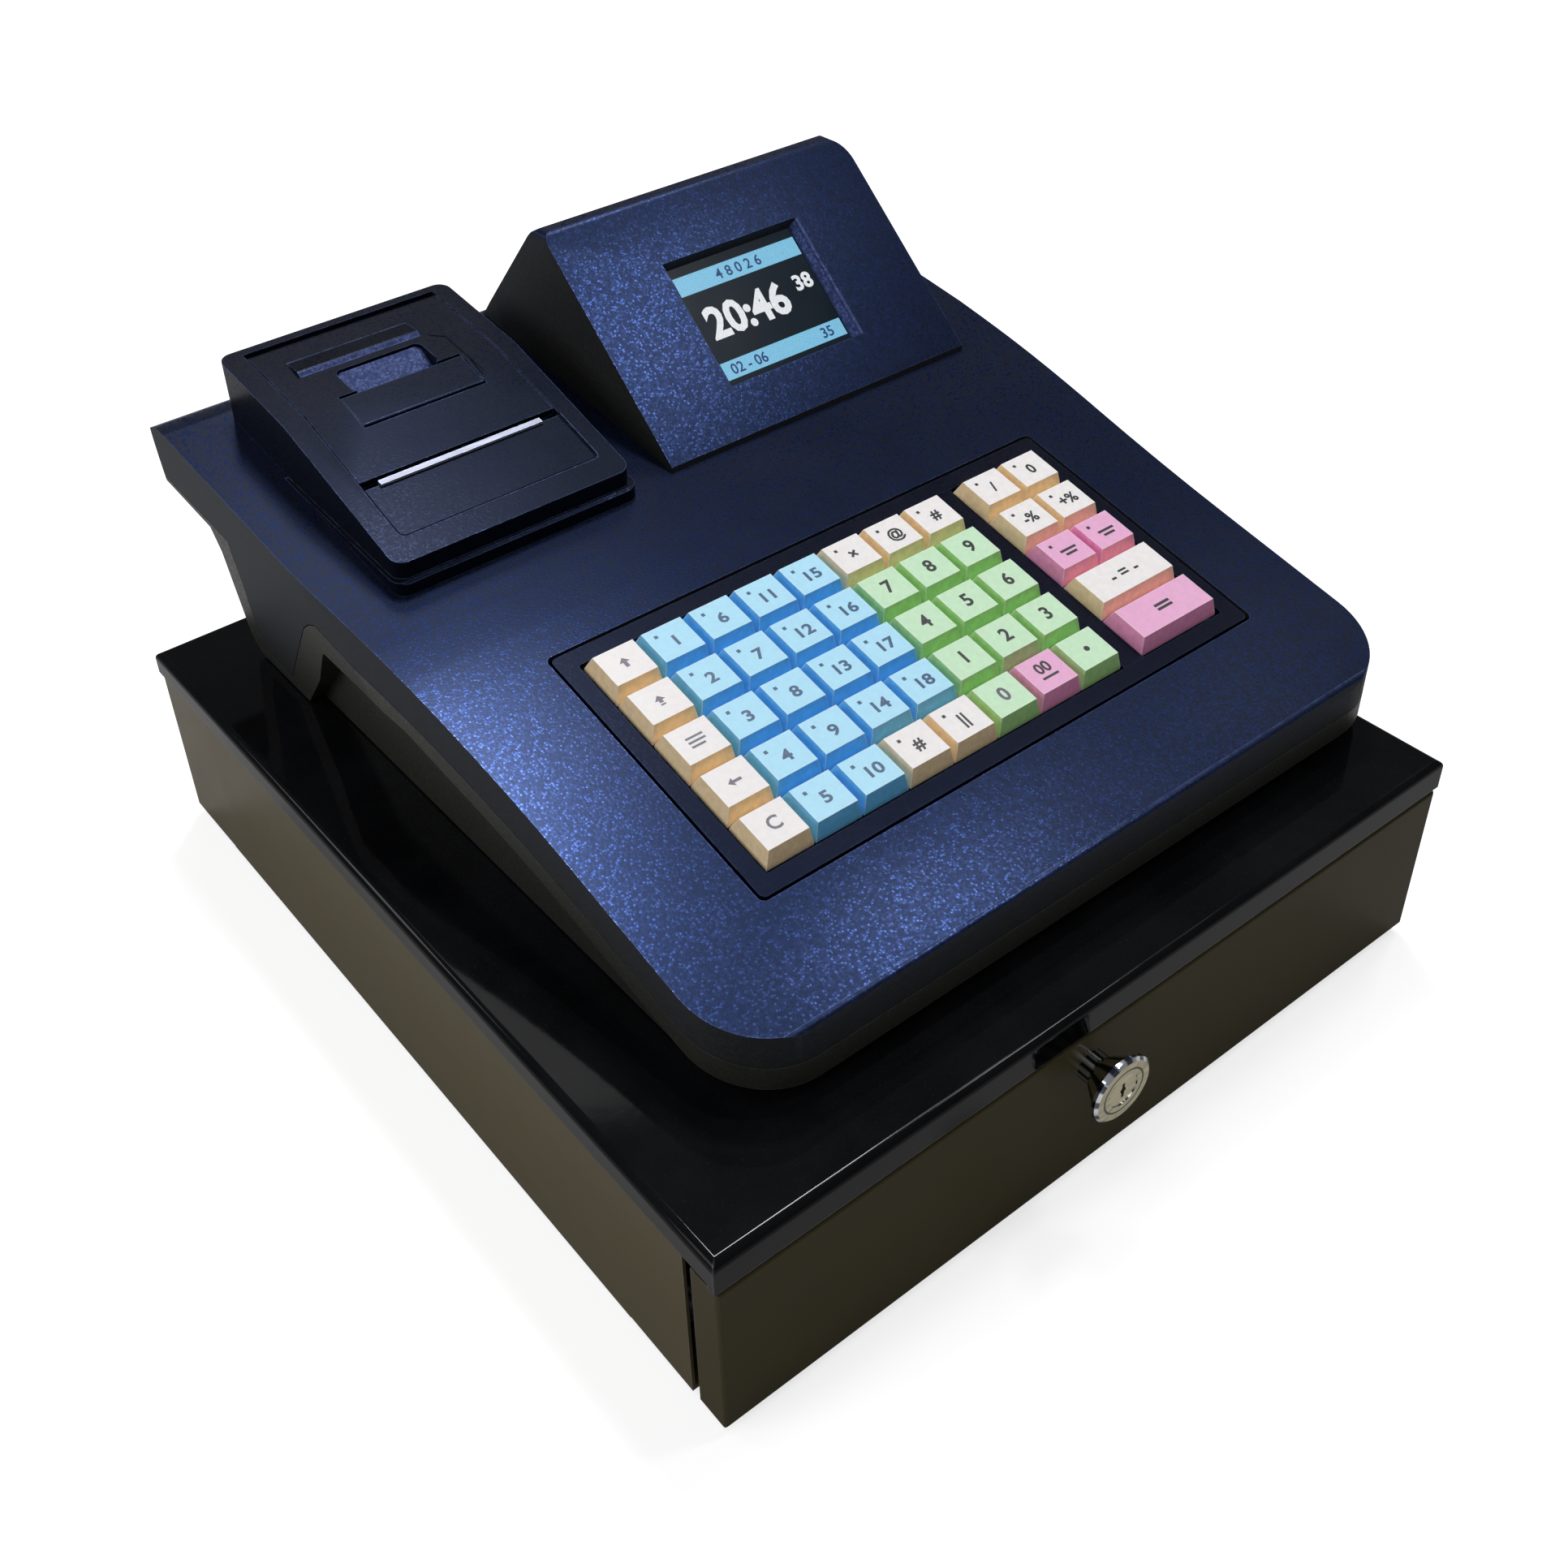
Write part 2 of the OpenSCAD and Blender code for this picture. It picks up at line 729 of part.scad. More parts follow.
// Ledge that the drawer rides on, with the bracket of its rear roller, right hand side
module drawer_ledge() {
  difference() {
    union() {
      box([till_half, till_front + 4, ledge_z], [till_half + sheet_t, rear_roller_y + 6, ledge_z + 10]);
      box([till_half, till_front + 4, ledge_z], [ledge_x, rear_roller_y - roller_r - 4, ledge_z + sheet_t]);
    }
    for (i = [0 : 3])
      rod_x(till_half - 1, till_half + 3, till_front + 30 + 75 * i, ledge_z + 6, 1.6);
  }
  box([till_half, rear_roller_y - 8, rail_z - 5], [till_half + sheet_t, rear_roller_y + 6, ledge_z + 10]);
  rod_x(till_half, ledge_x + 0.7, rear_roller_y, rail_z, hub_r);
  rod_x(till_half, ledge_x + roller_w + 1, rear_roller_y, rail_z, axle_r);
}

// Steel till box with its two ledges and the striker at the back
module till_box() {
  color("#9a9c9e") {
    difference() {
      box([-till_half, till_front, till_z], [till_half, till_rear, till_top]);
      box([-till_half + sheet_t, till_front + sheet_t, tray_z],
        [till_half - sheet_t, till_rear - sheet_t, till_top + 1]);
      rod_y(till_front - 1, till_front + 3, lock_x, lock_z, barrel_r + run);
      // notch that lets the lock's cam turn up
      box([lock_x - 10, till_front - 1, lock_z], [lock_x + 10, till_front + 3, till_top + 1]);
    }
    both_sides()
      drawer_ledge();
    // striker plate and pin
    box([striker_x - 5, till_rear, hook_z + 8], [striker_x + 5, till_rear + 1.5, hook_z + 20]);
    box([striker_x - 5, till_rear, hook_z + 8], [striker_x + 5, striker_y + 4, hook_z + 9.5]);
    rod_z(hook_z - 3, hook_z + 9, striker_x, striker_y, 2);
  }
}

// Insert with banknote bays and a well for the coin tray
module cash_tray() {
  color("#222226") {
    difference() {
      box([-tray_half, tray_front, tray_z], [tray_half, tray_rear, tray_top]);
      along_z(tray_z + tray_wall, tray_top + 1)
        round_rect(-tray_half + tray_wall, tray_half - tray_wall, coin_y0, coin_y1, 3);
      for (i = [0 : bill_bays - 1])
        along_z(tray_z + tray_wall, tray_top + 1)
          translate([-tray_half + tray_wall + i * (bay_w + tray_wall), 0])
            round_rect(0, bay_w, bill_y0, bill_y1, 3);
      // finger dips in the walls between the bays
      rod_x(-tray_half + tray_wall + 1, tray_half - tray_wall - 1, bill_y0 + 45, tray_top + 22, 34);
    }
    // ears that carry the clips' pins
    for (i = [0 : bill_bays - 1])
      let (x = -tray_half + tray_wall + bay_w / 2 + i * (bay_w + tray_wall))
        for (s = [-1, 1]) {
          difference() {
            box([x + s * (clip_w / 2 + 2.3) - 1.5, clip_y - 5, tray_z + tray_wall],
              [x + s * (clip_w / 2 + 2.3) + 1.5, bill_y1, clip_z + 5]);
            box([x - 60, clip_y - 8, tray_z + tray_wall + 6], [x + 60, clip_y - 3, clip_z - 5]);
          }
          translate([x + s * (clip_w / 2 - 0.5), 0, 0])
            rod_x(-2.5, 2.5, clip_y, clip_z, clip_rod_r);
        }
  }
}

// Lift-out coin tray with scooped cups
module coin_tray() {
  inset = 0.3;
  x0 = -tray_half + tray_wall + inset;
  cup_w = (2 * -x0 - (coin_cups + 1) * tray_wall) / coin_cups;
  y0 = coin_y0 + inset;
  y1 = coin_y1 - inset;
  z0 = tray_z + tray_wall;
  scoop = (y1 - y0) / 2 - tray_wall;
  color("#2b2b30")
    difference() {
      union() {
        along_z(z0, tray_top)
          round_rect(x0, -x0, y0, y1, 2.7);
        along_z(tray_top, tray_top + 1.6)
          round_rect(x0 - 1.5, -x0 + 1.5, y0 - 1.5, y1 + 1.5, 3);
      }
      for (i = [0 : coin_cups - 1])
        let (x = x0 + tray_wall + i * (cup_w + tray_wall)) {
          rod_x(x, x + cup_w, (y0 + y1) / 2, z0 + tray_wall + scoop, scoop);
          box([x, (y0 + y1) / 2 - scoop, z0 + tray_wall + scoop - 0.5],
            [x + cup_w, (y0 + y1) / 2 + scoop, tray_top + 5]);
        }
    }
}

// Sprung clip that holds the notes down in one bay
module clip(i) {
  x = -tray_half + tray_wall + bay_w / 2 + i * (bay_w + tray_wall);
  drop = clip_z - tray_z - tray_wall - 2.2;
  a = asin(drop / clip_reach);
  color("#3a3a40")
    difference() {
      union() {
        rod_x(x - clip_w / 2, x + clip_w / 2, clip_y, clip_z, clip_rod_r + 1.5);
        translate([x, clip_y, clip_z])
          rotate([a, 0, 0]) {
            translate([-4, -clip_reach + 3, -1])
              cube([8, clip_reach - 4, 2]);
            translate([-9, -clip_reach, -1])
              cube([18, 9, 1.6]);
          }
      }
      rod_x(x - clip_w / 2 - 1, x - clip_w / 2 + 3.3, clip_y, clip_z, clip_rod_r + run);
      rod_x(x + clip_w / 2 - 3.3, x + clip_w / 2 + 1, clip_y, clip_z, clip_rod_r + run);
    }
}

module bill_clip_1() {
  clip(0);
}

module bill_clip_2() {
  clip(1);
}

module bill_clip_3() {
  clip(2);
}

module bill_clip_4() {
  clip(3);
}

// --- Lock ---

// Chromed barrel with its flared face, threaded neck and nut
module lock_barrel() {
  color("#d7dade")
    difference() {
      union() {
        rod_y(lock_face + 5, panel_back + sheet_t + 1.2, lock_x, lock_z, barrel_r);
        translate([lock_x, lock_face, lock_z])
          rotate([-90, 0, 0])
            rotate_extrude()
              polygon([
                [0, 0], [lock_head_r - 1, 0], [lock_head_r, 0.8], [lock_head_r, 2],
                [lock_head_r - 1.5, 3.2], [barrel_r + 1.6, 8], [barrel_r, 9.5], [0, 9.5]
              ]);
        // nut behind the face of the panel
        translate([lock_x, cab_front + sheet_t, lock_z])
          rotate([-90, 0, 0])
            cylinder(h = 4, r = barrel_r + 3.2, $fn = 6);
      }
      rod_y(lock_face - 1, lock_face + 3, lock_x, lock_z, plug_head_r + run);
      rod_y(lock_face, panel_back + sheet_t + 2, lock_x, lock_z, plug_r + run);
    }
}

// Plug with its keyhole, and the cam on its end, drawn unlocked
module lock_plug() {
  color("#c4c8cc") {
    difference() {
      union() {
        rod_y(lock_face + 0.3, lock_face + 2.9, lock_x, lock_z, plug_head_r);
        rod_y(lock_face + 0.3, cam_y + cam_t + 1.5, lock_x, lock_z, plug_r);
      }
      box([lock_x - 0.6, lock_face - 1, lock_z - 3], [lock_x + 0.6, lock_face + 8, lock_z + 3]);
      rod_y(lock_face - 1, lock_face + 8, lock_x, lock_z, 1.2);
    }
    along_y(cam_y, cam_y + cam_t)
      union() {
        translate([lock_x, lock_z])
          circle(6);
        translate([lock_x, lock_z - 4.5])
          square([cam_reach - 3, 9]);
        translate([lock_x + cam_reach - 4, lock_z - 4.5])
          square([4, 4.5]);
      }
    // screw that holds the cam
    rod_y(cam_y + cam_t, cam_y + cam_t + 3, lock_x, lock_z, 3);
  }
}

// --- Register head ---

// Side view of the whole head
module side_outline() {
  nose_y = head_d - nose_r;
  nose_z = deck_z(nose_y) - nose_r / cos(back_slope);
  lip_z = under_z + under_slope * (head_d - 4 - leg_rear);
  polygon(concat(
    [[0, skirt_z(0)], [0, deck_rise - 2.6], [0.8, deck_rise - 0.8]],
    deck_pts(2.6, nose_y - nose_r * sin(back_slope) - 1),
    arc_pts([nose_y, nose_z], nose_r, 90 + back_slope, 0, 9),
    arc_pts([head_d - 4, lip_z + 4], 4, 0, -84, 4),
    [
      [leg_rear + 3.5, under_z], [leg_rear, under_z - 9.5], [leg_rear, base_gap + 7.5],
      [leg_rear - 1.5, base_gap + 3.5], [leg_rear - 5, base_gap + 1], [leg_rear - 8, base_gap],
      [leg_rear - 8 - leg_w, base_gap], [leg_rear - 9 - leg_w, base_gap + 1], [leg_rear - 64, base_gap + 22],
      [notch_y + 2.5, notch_z - 3], [notch_y, notch_z],
      [under_mid, notch_z], [under_low, notch_z - 1.9], [ease_y0, skirt_z(ease_y0)]
    ]
  ));
}

// Plan of the head, its front corners rounded, set in by i
module plan_outline(i) {
  rear_r = 14;
  w0 = half_front - i;
  w1 = half_w(head_d) - i;
  ys = [for (k = [0 : 18]) corner_r + (head_d - rear_r - corner_r) * k / 18];
  polygon(concat([for (y = ys) [half_w(y) - i, y]], [for (k = [18 : -1 : 0]) [i - half_w(ys[k]), ys[k]]]));
  translate([-w0 + corner_r - i, i])
    square([2 * (w0 - corner_r + i), corner_r - i + 1]);
  translate([-w1 + rear_r - i, head_d - rear_r - 1])
    square([2 * (w1 - rear_r + i), rear_r - i + 1]);
  for (s = [-1, 1]) {
    translate([s * (w0 - corner_r + i), corner_r])
      circle(corner_r - i);
    translate([s * (w1 - rear_r + i), head_d - rear_r])
      circle(rear_r - i);
  }
}

// Front view: the head narrows towards its foot
module front_outline(i) {
  w = half_base - i;
  polygon([[-w, 0], [w, 0], [w + 130 * side_lean, 130], [-w - 130 * side_lean, 130]]);
}

// Outer form of the head, set in by i
module head_solid(i) {
  intersection() {
    along_x(-180, 180)
      offset(delta = -i)
        side_outline();
    along_z(-1, 130)
      plan_outline(i);
    along_y(-1, head_d + 1)
      front_outline(i);
  }
}

// Recessed base under the skirt, set in by i
module base_solid(i) {
  w = half_base - base_in - i;
  intersection() {
    along_z(base_gap + i, 100)
      round_rect(-w, w, 2 * base_in + i, leg_rear - 10 - i, corner_r - base_in - i);
    along_x(-180, 180)
      polygon([
        [2 * base_in + i, 0], [leg_rear - 10 - i, 0], [leg_rear - 10 - i, notch_z + 1 + 2 * i],
        [under_mid, notch_z + 1 + 2 * i], [ease_y0, skirt_z(ease_y0) + 1 + 2 * i],
        [2 * base_in + i, skirt_z(2 * base_in) + 1 + 2 * i]
      ]);
  }
}

// Side view of everything that belongs to the upper shell
module upper_region() {
  polygon(concat(
    [[-20, 200], [-20, seam_z(-20)]],
    [[0, seam_z(0)]],
    [for (k = [0 : 8]) let (y = ease_y0 + k * (notch_y - ease_y0) / 8) [y, seam_z(y)]],
    [
      [notch_y + 6.5, seam_z(notch_y) - 3.4], [notch_y + 12.3, seam_z(notch_y) - 8],
      [notch_y + 28.2, seam_z(notch_y) - 28.2], [leg_rear - 32.7, 5.9], [leg_rear - 12.7, 7.1],
      [leg_rear - 10.5, 14.6], [leg_rear - 12.3, 38.6], [leg_rear - 12, under_z + 1.5],
      [head_d + 20, under_z + 9], [head_d + 20, 200]
    ]
  ));
}

// Everything below the deck's surface
module below_deck(drop) {
  along_x(-180, 180)
    polygon(concat(
      [[behind_keys, -1]],
      [for (p = deck_pts(behind_keys, head_d)) [p[0], p[1] - drop]],
      [[head_d, -1]]
    ));
}

// Screw posts that join the shells: across, along and height of the joint
posts = [[120, 36, 18], [130, ease_y0 + 4, 40], [137, leg_rear - 26, 40]];

// Lower shell: skirt, base tub and leg
module lower_shell() {
  color("#3b3b36")
    in_head()
      difference() {
        union() {
          difference() {
            union() {
              difference() {
                head_solid(0);
                along_x(-180, 180)
                  offset(delta = seam)
                    upper_region();
              }
              base_solid(0);
            }
            head_solid(shell_t);
            base_solid(shell_t);
          }
          both_sides()
            for (p = posts)
              rod_z(base_gap + 1, p[2], p[0], p[1], 4);
          // pillars under the printer
          for (x = [pr_cx - 27, pr_cx + 27], y = [platen_y - 14, roll_y + 4])
            rod_z(base_gap + 1, base_z, x, y, 4);
          // posts under the main board
          for (p = main_posts)
            rod_z(base_gap + 1, main_z, p[0], p[1], 3.5);
        }
        both_sides()
          for (p = posts) {
            rod_z(-1, p[2] + 1, p[0], p[1], 1.7);
            rod_z(-1, base_gap + 6, p[0], p[1], 3);
          }
        // rear opening for the sockets
        box([socket_x0, leg_rear - 12, socket_z0], [socket_x1, leg_rear + 3, socket_z1]);
      }
}

// Upper shell: the deck with its openings and the tongues over the legs
module upper_shell() {
  color("#1d2130") {
    difference() {
      in_head()
        difference() {
          intersection() {
            head_solid(0);
            along_x(-180, 180)
              upper_region();
          }
          head_solid(shell_t);
          // printer well
          along_z(20, 140)
            round_rect(pr_x0 + 2, pr_x1 - 2, pr_y0 + 2.5, pr_y1 - 2.5, 4);
          // cable opening under the hood
          along_z(20, 140)
            round_rect(hood_cx - 20, hood_cx + 20, hood_front + 30, hood_front + 60, 5);
        }
      on_keys()
        along_z(-30, 10)
          round_rect(-well_side - groove_w, keys_w + well_side + groove_w,
            -well_side - groove_w, keys_d + well_side + groove_w, 2.5);
    }
    // pads that the key plate is screwed to
    on_keys()
      for (u = [-13, keys_w + 13], v = [20, keys_d - 20])
        rod_z(plate_top, keys_sunk - 1, u, v, 3.2);
    in_head()
      both_sides()
        for (p = posts)
          difference() {
            rod_z(p[2], deck_z(p[1]) - 1.5, p[0], p[1], 4);
            rod_z(p[2] - 1, p[2] + 9, p[0], p[1], 1.5);
          }
  }
}

// Rubber feet of the head
module head_feet() {
  color("#1b1b1b")
    in_head()
      for (x = [-118, 118], y = [62, leg_rear - 26])
        difference() {
          rod_z(0, base_gap, x, y, 8);
          rod_z(-1, base_gap / 2, x, y, 3);
        }
}

// --- Keyboard ---

// Raised bezel around the keys
module keyboard_frame() {
  color("#1d2130")
    on_keys() {
      difference() {
        along_z(plate_top, keys_sunk - 0.2)
          round_rect(-well_side, keys_w + well_side, -well_side, keys_d + well_side, 2);
        along_z(plate_top - 1, keys_sunk + 1)
          round_rect(-1, keys_w + 1, -1, keys_d + 1, 1);
      }
      // strip between the number keys and the right hand columns
      box([8 * key_pitch + 0.1, -1.5, plate_top], [8.5 * key_pitch - 0.1, keys_d + 1.5, keys_sunk - 0.6]);
    }
}

// Guide plate with a hole for every key's stem
module key_plate() {
  color("#2a2c33")
    on_keys()
      difference() {
        union() {
          box([-9, -9, plate_top - plate_t], [keys_w + 9, keys_d + 9, plate_top]);
          for (v = [20, keys_d - 20])
            box([-17, v - 5, plate_top - plate_t], [keys_w + 17, v + 5, plate_top]);
        }
        for (k = all_keys)
          translate([key_u(k[0], k[2]), key_v(k[1]), plate_top - plate_t - 1])
            cylinder(h = plate_t + 2, r = stem_r + run);
        for (u = [-13, keys_w + 13], v = [20, keys_d - 20])
          rod_z(plate_top - plate_t - 1, plate_top + 1, u, v, 1.3);
      }
}

// Keyboard circuit board with one switch sleeve under each key
module key_switches() {
  color("#2f6b45")
    on_keys()
      difference() {
        union() {
          box([-4, -4, board_top - board_t], [keys_w + 4, keys_d + 4, board_top]);
          for (k = all_keys)
            translate([key_u(k[0], k[2]), key_v(k[1]), board_top])
              cylinder(h = plate_top - plate_t - board_top, r = hub_clip_r + 2);
        }
        for (k = all_keys)
          translate([key_u(k[0], k[2]), key_v(k[1]), board_top - 0.3])
            cylinder(h = 20, r = hub_clip_r + 0.4);
      }
}

// Keys: column from the left in key pitches, row from the front, width in pitches
side_keys = [for (r = [0 : 4]) [0, r, 1]];
department_keys = concat([for (c = [1 : 4], r = [1 : 4]) [c, r, 1]], [[1, 0, 1], [2, 0, 1]]);
function_keys = [
  [3, 0, 1], [4, 0, 1], [5, 4, 1], [6, 4, 1], [7, 4, 1], [8.5, 4, 1], [9.5, 4, 1], [8.5, 3, 1], [9.5, 3, 1]
];
payment_keys = [[8.5, 2, 1], [9.5, 2, 1]];
number_keys = [
  [5, 0, 1], [5, 1, 1], [6, 1, 1], [7, 1, 1], [5, 2, 1], [6, 2, 1], [7, 2, 1],
  [5, 3, 1], [6, 3, 1], [7, 3, 1], [6, 0, 1], [7, 0, 1], [8.5, 1, 2], [8.5, 0, 2]
];
all_keys = concat(side_keys, department_keys, function_keys, payment_keys, number_keys);

function key_u(c, n) = (c + n / 2) * key_pitch;
function key_v(r) = (r + 0.5) * key_pitch;

// One key: a hollow cap with slanted sides, its stem and the clip below the plate
module key(k) {
  u = key_u(k[0], k[2]);
  v = key_v(k[1]);
  a = (k[2] * key_pitch - key_gap) / 2;
  b = (key_pitch - key_gap) / 2;
  a1 = a - key_taper;
  b1 = b - 1.6 * key_taper;
  on_keys()
    translate([u, v, 0]) {
      difference() {
        intersection() {
          along_y(-b, b)
            polygon([[-a, 0], [a, 0], [a, 1], [a1, key_h], [-a1, key_h], [-a, 1]]);
          along_x(-a, a)
            polygon([[-b, 0], [b, 0], [b, 1], [b1, key_h], [-b1, key_h], [-b, 1]]);
        }
        box([-a + 2.6, -b + 3.2, -1], [a - 2.6, b - 3.2, key_h - 2]);
      }
      rod_z(stem_end, key_h - 1, 0, 0, stem_r);
      rod_z(stem_end, stem_end + 1.4, 0, 0, hub_clip_r);
    }
}

module keys(list) {
  for (k = list)
    key(k);
}

cream = "#f0ead6";
green = "#bfe6b4";
blue = "#9fd3f0";
pink = "#f3b9c6";

module key_0() {
  color(green)
    key(number_keys[0]);
}

module key_1() {
  color(green)
    key(number_keys[1]);
}

module key_2() {
  color(green)
    key(number_keys[2]);
}

module key_3() {
  color(green)
    key(number_keys[3]);
}

module key_4() {
  color(green)
    key(number_keys[4]);
}

module key_5() {
  color(green)
    key(number_keys[5]);
}

module key_6() {
  color(green)
    key(number_keys[6]);
}

module key_7() {
  color(green)
    key(number_keys[7]);
}

module key_8() {
  color(green)
    key(number_keys[8]);
}

module key_9() {
  color(green)
    key(number_keys[9]);
}

module key_00() {
  color(pink)
    key(number_keys[10]);
}

module key_point() {
  color(green)
    key(number_keys[11]);
}

module key_subtotal() {
  color(cream)
    key(number_keys[12]);
}

module key_total() {
  color(pink)
    key(number_keys[13]);
}

module keys_side() {
  color(cream)
    keys(side_keys);
}

module keys_department() {
  color(blue)
    keys(department_keys);
}

module keys_function() {
  color(cream)
    keys(function_keys);
}

module keys_payment() {
  color(pink)
    keys(payment_keys);
}

// --- Display hood ---

module hood_outline() {
  polygon([
    [hood_front, 0], [hood_front, hood_z], [hood_top_y, hood_top_z], [hood_top_y + 2, hood_top_z + 1],
    [hood_top_y + 7, hood_top_z + 0.8], [hood_top_y + 9.5, hood_top_z - 0.8],
    [hood_back - 7, deck_z(hood_back) + 7.7], [hood_back, deck_z(hood_back) - 0.5], [hood_back, 0]
  ]);
}

// Hood with the bevelled window in its face
module display_hood() {
  x0 = hood_right - hood_w;
  a = window_w / 2;
  color("#1b1e28")
    difference() {
      union() {
        in_head()
          difference() {
            intersection() {
              along_x(x0, hood_right)
                hood_outline();
              along_y(hood_front - 1, hood_back + 1)
                union() {
                  translate([x0, 0])
                    square([hood_w, hood_top_z - 8]);
                  translate([x0 + 4, 0])
                    square([hood_w - 12, hood_top_z + 2]);
                  translate([x0, 0])
                    square([20, hood_top_z - 3]);
                  translate([x0 + 4, hood_top_z - 3])
                    circle(4);
                  translate([hood_right - 8, hood_top_z - 7])
                    circle(8);
                }
            }
            along_x(x0 + shell_t, hood_right - shell_t)
              offset(delta = -shell_t)
                hood_outline();
            box([x0 + shell_t, hood_front + shell_t, 0],
              [hood_right - shell_t, hood_back - shell_t - 1, hood_z - 1]);
            below_deck(0);
          }
        // frame around the window, behind the face
        on_hood()
          box([-a - 3, window_up - 3, -window_deep], [a + 3, window_end + 3, -1]);
      }
      // window, wider at the face than at the display
      on_hood()
        intersection() {
          along_y(window_up - 1, window_end + 1)
            polygon([
              [1.5 - a, -window_deep - 1], [a - 1.5, -window_deep - 1], [a - 1.5, -window_deep],
              [a, 0], [a, 1], [-a, 1], [-a, 0], [1.5 - a, -window_deep]
            ]);
          along_x(-a - 1, a + 1)
            polygon([
              [window_up + 1.5, -window_deep - 1], [window_end - 1.5, -window_deep - 1],
              [window_end - 1.5, -window_deep], [window_end, 0], [window_end, 1],
              [window_up, 1], [window_up, 0], [window_up + 1.5, -window_deep]
            ]);
        }
    }
}

// Screen with its metal frame and its circuit board
module display_module() {
  a = window_w / 2;
  v0 = window_up;
  v1 = window_end;
  color("#cfe3f5")
    on_hood() {
      box([-a - 2, v0 - 2, -window_deep - 3.5], [a + 2, v1 + 2, -window_deep]);
      box([-a - 4, v0 - 3, -window_deep - 7], [a + 4, v1 + 6, -window_deep - 5.4]);
      for (u = [-a + 2, a - 2], v = [v0 + 2, v1 - 2])
        rod_z(-window_deep - 5.6, -window_deep - 3.3, u, v, 2);
      box([-12, v0 + 4, -window_deep - 10], [12, v0 + 10, -window_deep - 6.9]);
      box([-20, v0 + 20, -window_deep - 8.4], [-4, v0 + 36, -window_deep - 6.9]);
    }
}

// --- Receipt printer ---

// Side view of the printer's body under its top surface
module printer_outline(drop, y0, y1) {
  polygon([
    [y0, 0], [y0, pr_top(y0) - drop], [knee_y, pr_top(knee_y) - drop], [y1, pr_top(y1) - drop], [y1, 0]
  ]);
}

// Printer housing: a low plinth and the raised frame around the hatch
module printer_housing() {
  x0 = pr_x0 + body_in;
  x1 = pr_x1 - body_in;
  y0 = pr_y0 + 2;
  y1 = pr_y1 - body_in;
  w = 2;
  color("#14151a")
    in_head() {
      difference() {
        union() {
          intersection() {
            along_z(40, 140)
              round_rect(x0, x1, y0, y1, 5);
            along_x(x0 - 1, x1 + 1)
              printer_outline(0, y0, y1);
          }
          intersection() {
            along_z(40, 140)
              round_rect(pr_x0, pr_x1, pr_y0, pr_y1, 5);
            along_x(pr_x0 - 1, pr_x1 + 1)
              polygon([
                [pr_y0, 0], [pr_y0, deck_z(pr_y0) + 4.5], [pr_y0 + 1, deck_z(pr_y0) + 5.3],
                [pr_y1, deck_z(pr_y0) + 5.3 + 0.075 * printer_d], [pr_y1, 0]
              ]);
          }
        }
        below_deck(0);
        // hollow body
        intersection() {
          along_z(40, 140)
            round_rect(x0 + w, x1 - w, y0 + w, y1 - w, 3);
          along_x(x0 + w, x1 - w)
            printer_outline(w, y0, y1);
        }
        // opening for the hatch and the paper
        box([open_x0, slot_y0, 60], [open_x1, open_y1, 140]);
        // shallow panel in front of the paper slot
        along_x(open_x0, open_x1)
          polygon([
            [open_y0, pr_top(open_y0) - 0.7], [slot_y0 + 1, pr_top(slot_y0 + 1) - 0.7],
            [slot_y0 + 1, pr_top(slot_y0) + 5], [open_y0, pr_top(open_y0) + 5]
          ]);
        // bores of the hatch's pins
        rod_x(open_x0 - 4.5, open_x1 + 4.5, hinge_y, hinge_z, hinge_pin_r + run);
      }
      // locating skirt inside the deck's opening
      difference() {
        along_z(50, 110)
          round_rect(x0 + w - 0.7, x1 - w + 0.7, y0 + w - 0.7, y1 - w + 0.7, 3.7);
        along_z(40, 120)
          round_rect(x0 + w + 0.8, x1 - w - 0.8, y0 + w + 0.8, y1 - w - 0.8, 2.2);
        below_deck(shell_t + 2);
        along_x(-180, 180)
          polygon(concat(
            [[behind_keys, 200]],
            [for (p = deck_pts(behind_keys, head_d)) [p[0], p[1] + 2]],
            [[head_d, 200]]
          ));
      }
      // bosses that hold the hatch's pins
      for (x = [open_x0 - 3.5, open_x1 + 0.3])
        difference() {
          box([x, hinge_y - 4, hinge_z - 5], [x + 3.2, hinge_y + 4, pr_top(hinge_y - 4) - 1]);
          rod_x(x - 1, x + 4, hinge_y, hinge_z, hinge_pin_r + run);
        }
    }
}

// Steel frame of the printer mechanism with the roll's spindle
module printer_frame() {
  color("#9a9c9e")
    in_head()
      difference() {
        union() {
          for (x = [frame_x0, frame_x1 - frame_t])
            along_x(x, x + frame_t)
              polygon([
                [platen_y - 22, base_z], [roll_y + 12, base_z], [roll_y + 12, roll_z + 7],
                [roll_y - 10, roll_z + 7], [platen_y + 6, platen_z - 6.5], [platen_y - 18, platen_z - 6.5],
                [platen_y - 22, platen_z - 15.5]
              ]);
          box([frame_x0, platen_y - 22, base_z], [frame_x1, roll_y + 12, base_z + frame_t]);
          box([frame_x0, platen_y - 15, platen_z - 13.5], [frame_x1, platen_y - 9, platen_z - 7.5]);
          rod_x(frame_x0, frame_x1, roll_y, roll_z, 4);
          // axle of the idler gear
          rod_x(frame_x1 - frame_t, frame_x1 + gear_w + 1.5, platen_y, idler_z, 2);
        }
        rod_x(frame_x1 - 2 * frame_t, frame_x1 + 1, pinion_y, pinion_z, 3);
      }
}

// Thermal print head on its heat sink
module thermal_head() {
  color("#c9ccd0")
    in_head() {
      translate([pr_cx, platen_y, platen_z])
        rotate([20, 0, 0])
          box([-29, -platen_r - play - 1.6, -11], [29, -platen_r - play, 5]);
      box([pr_cx - 25, platen_y - 9, platen_z - 13], [pr_cx + 25, platen_y - 4, platen_z - 8]);
    }
}

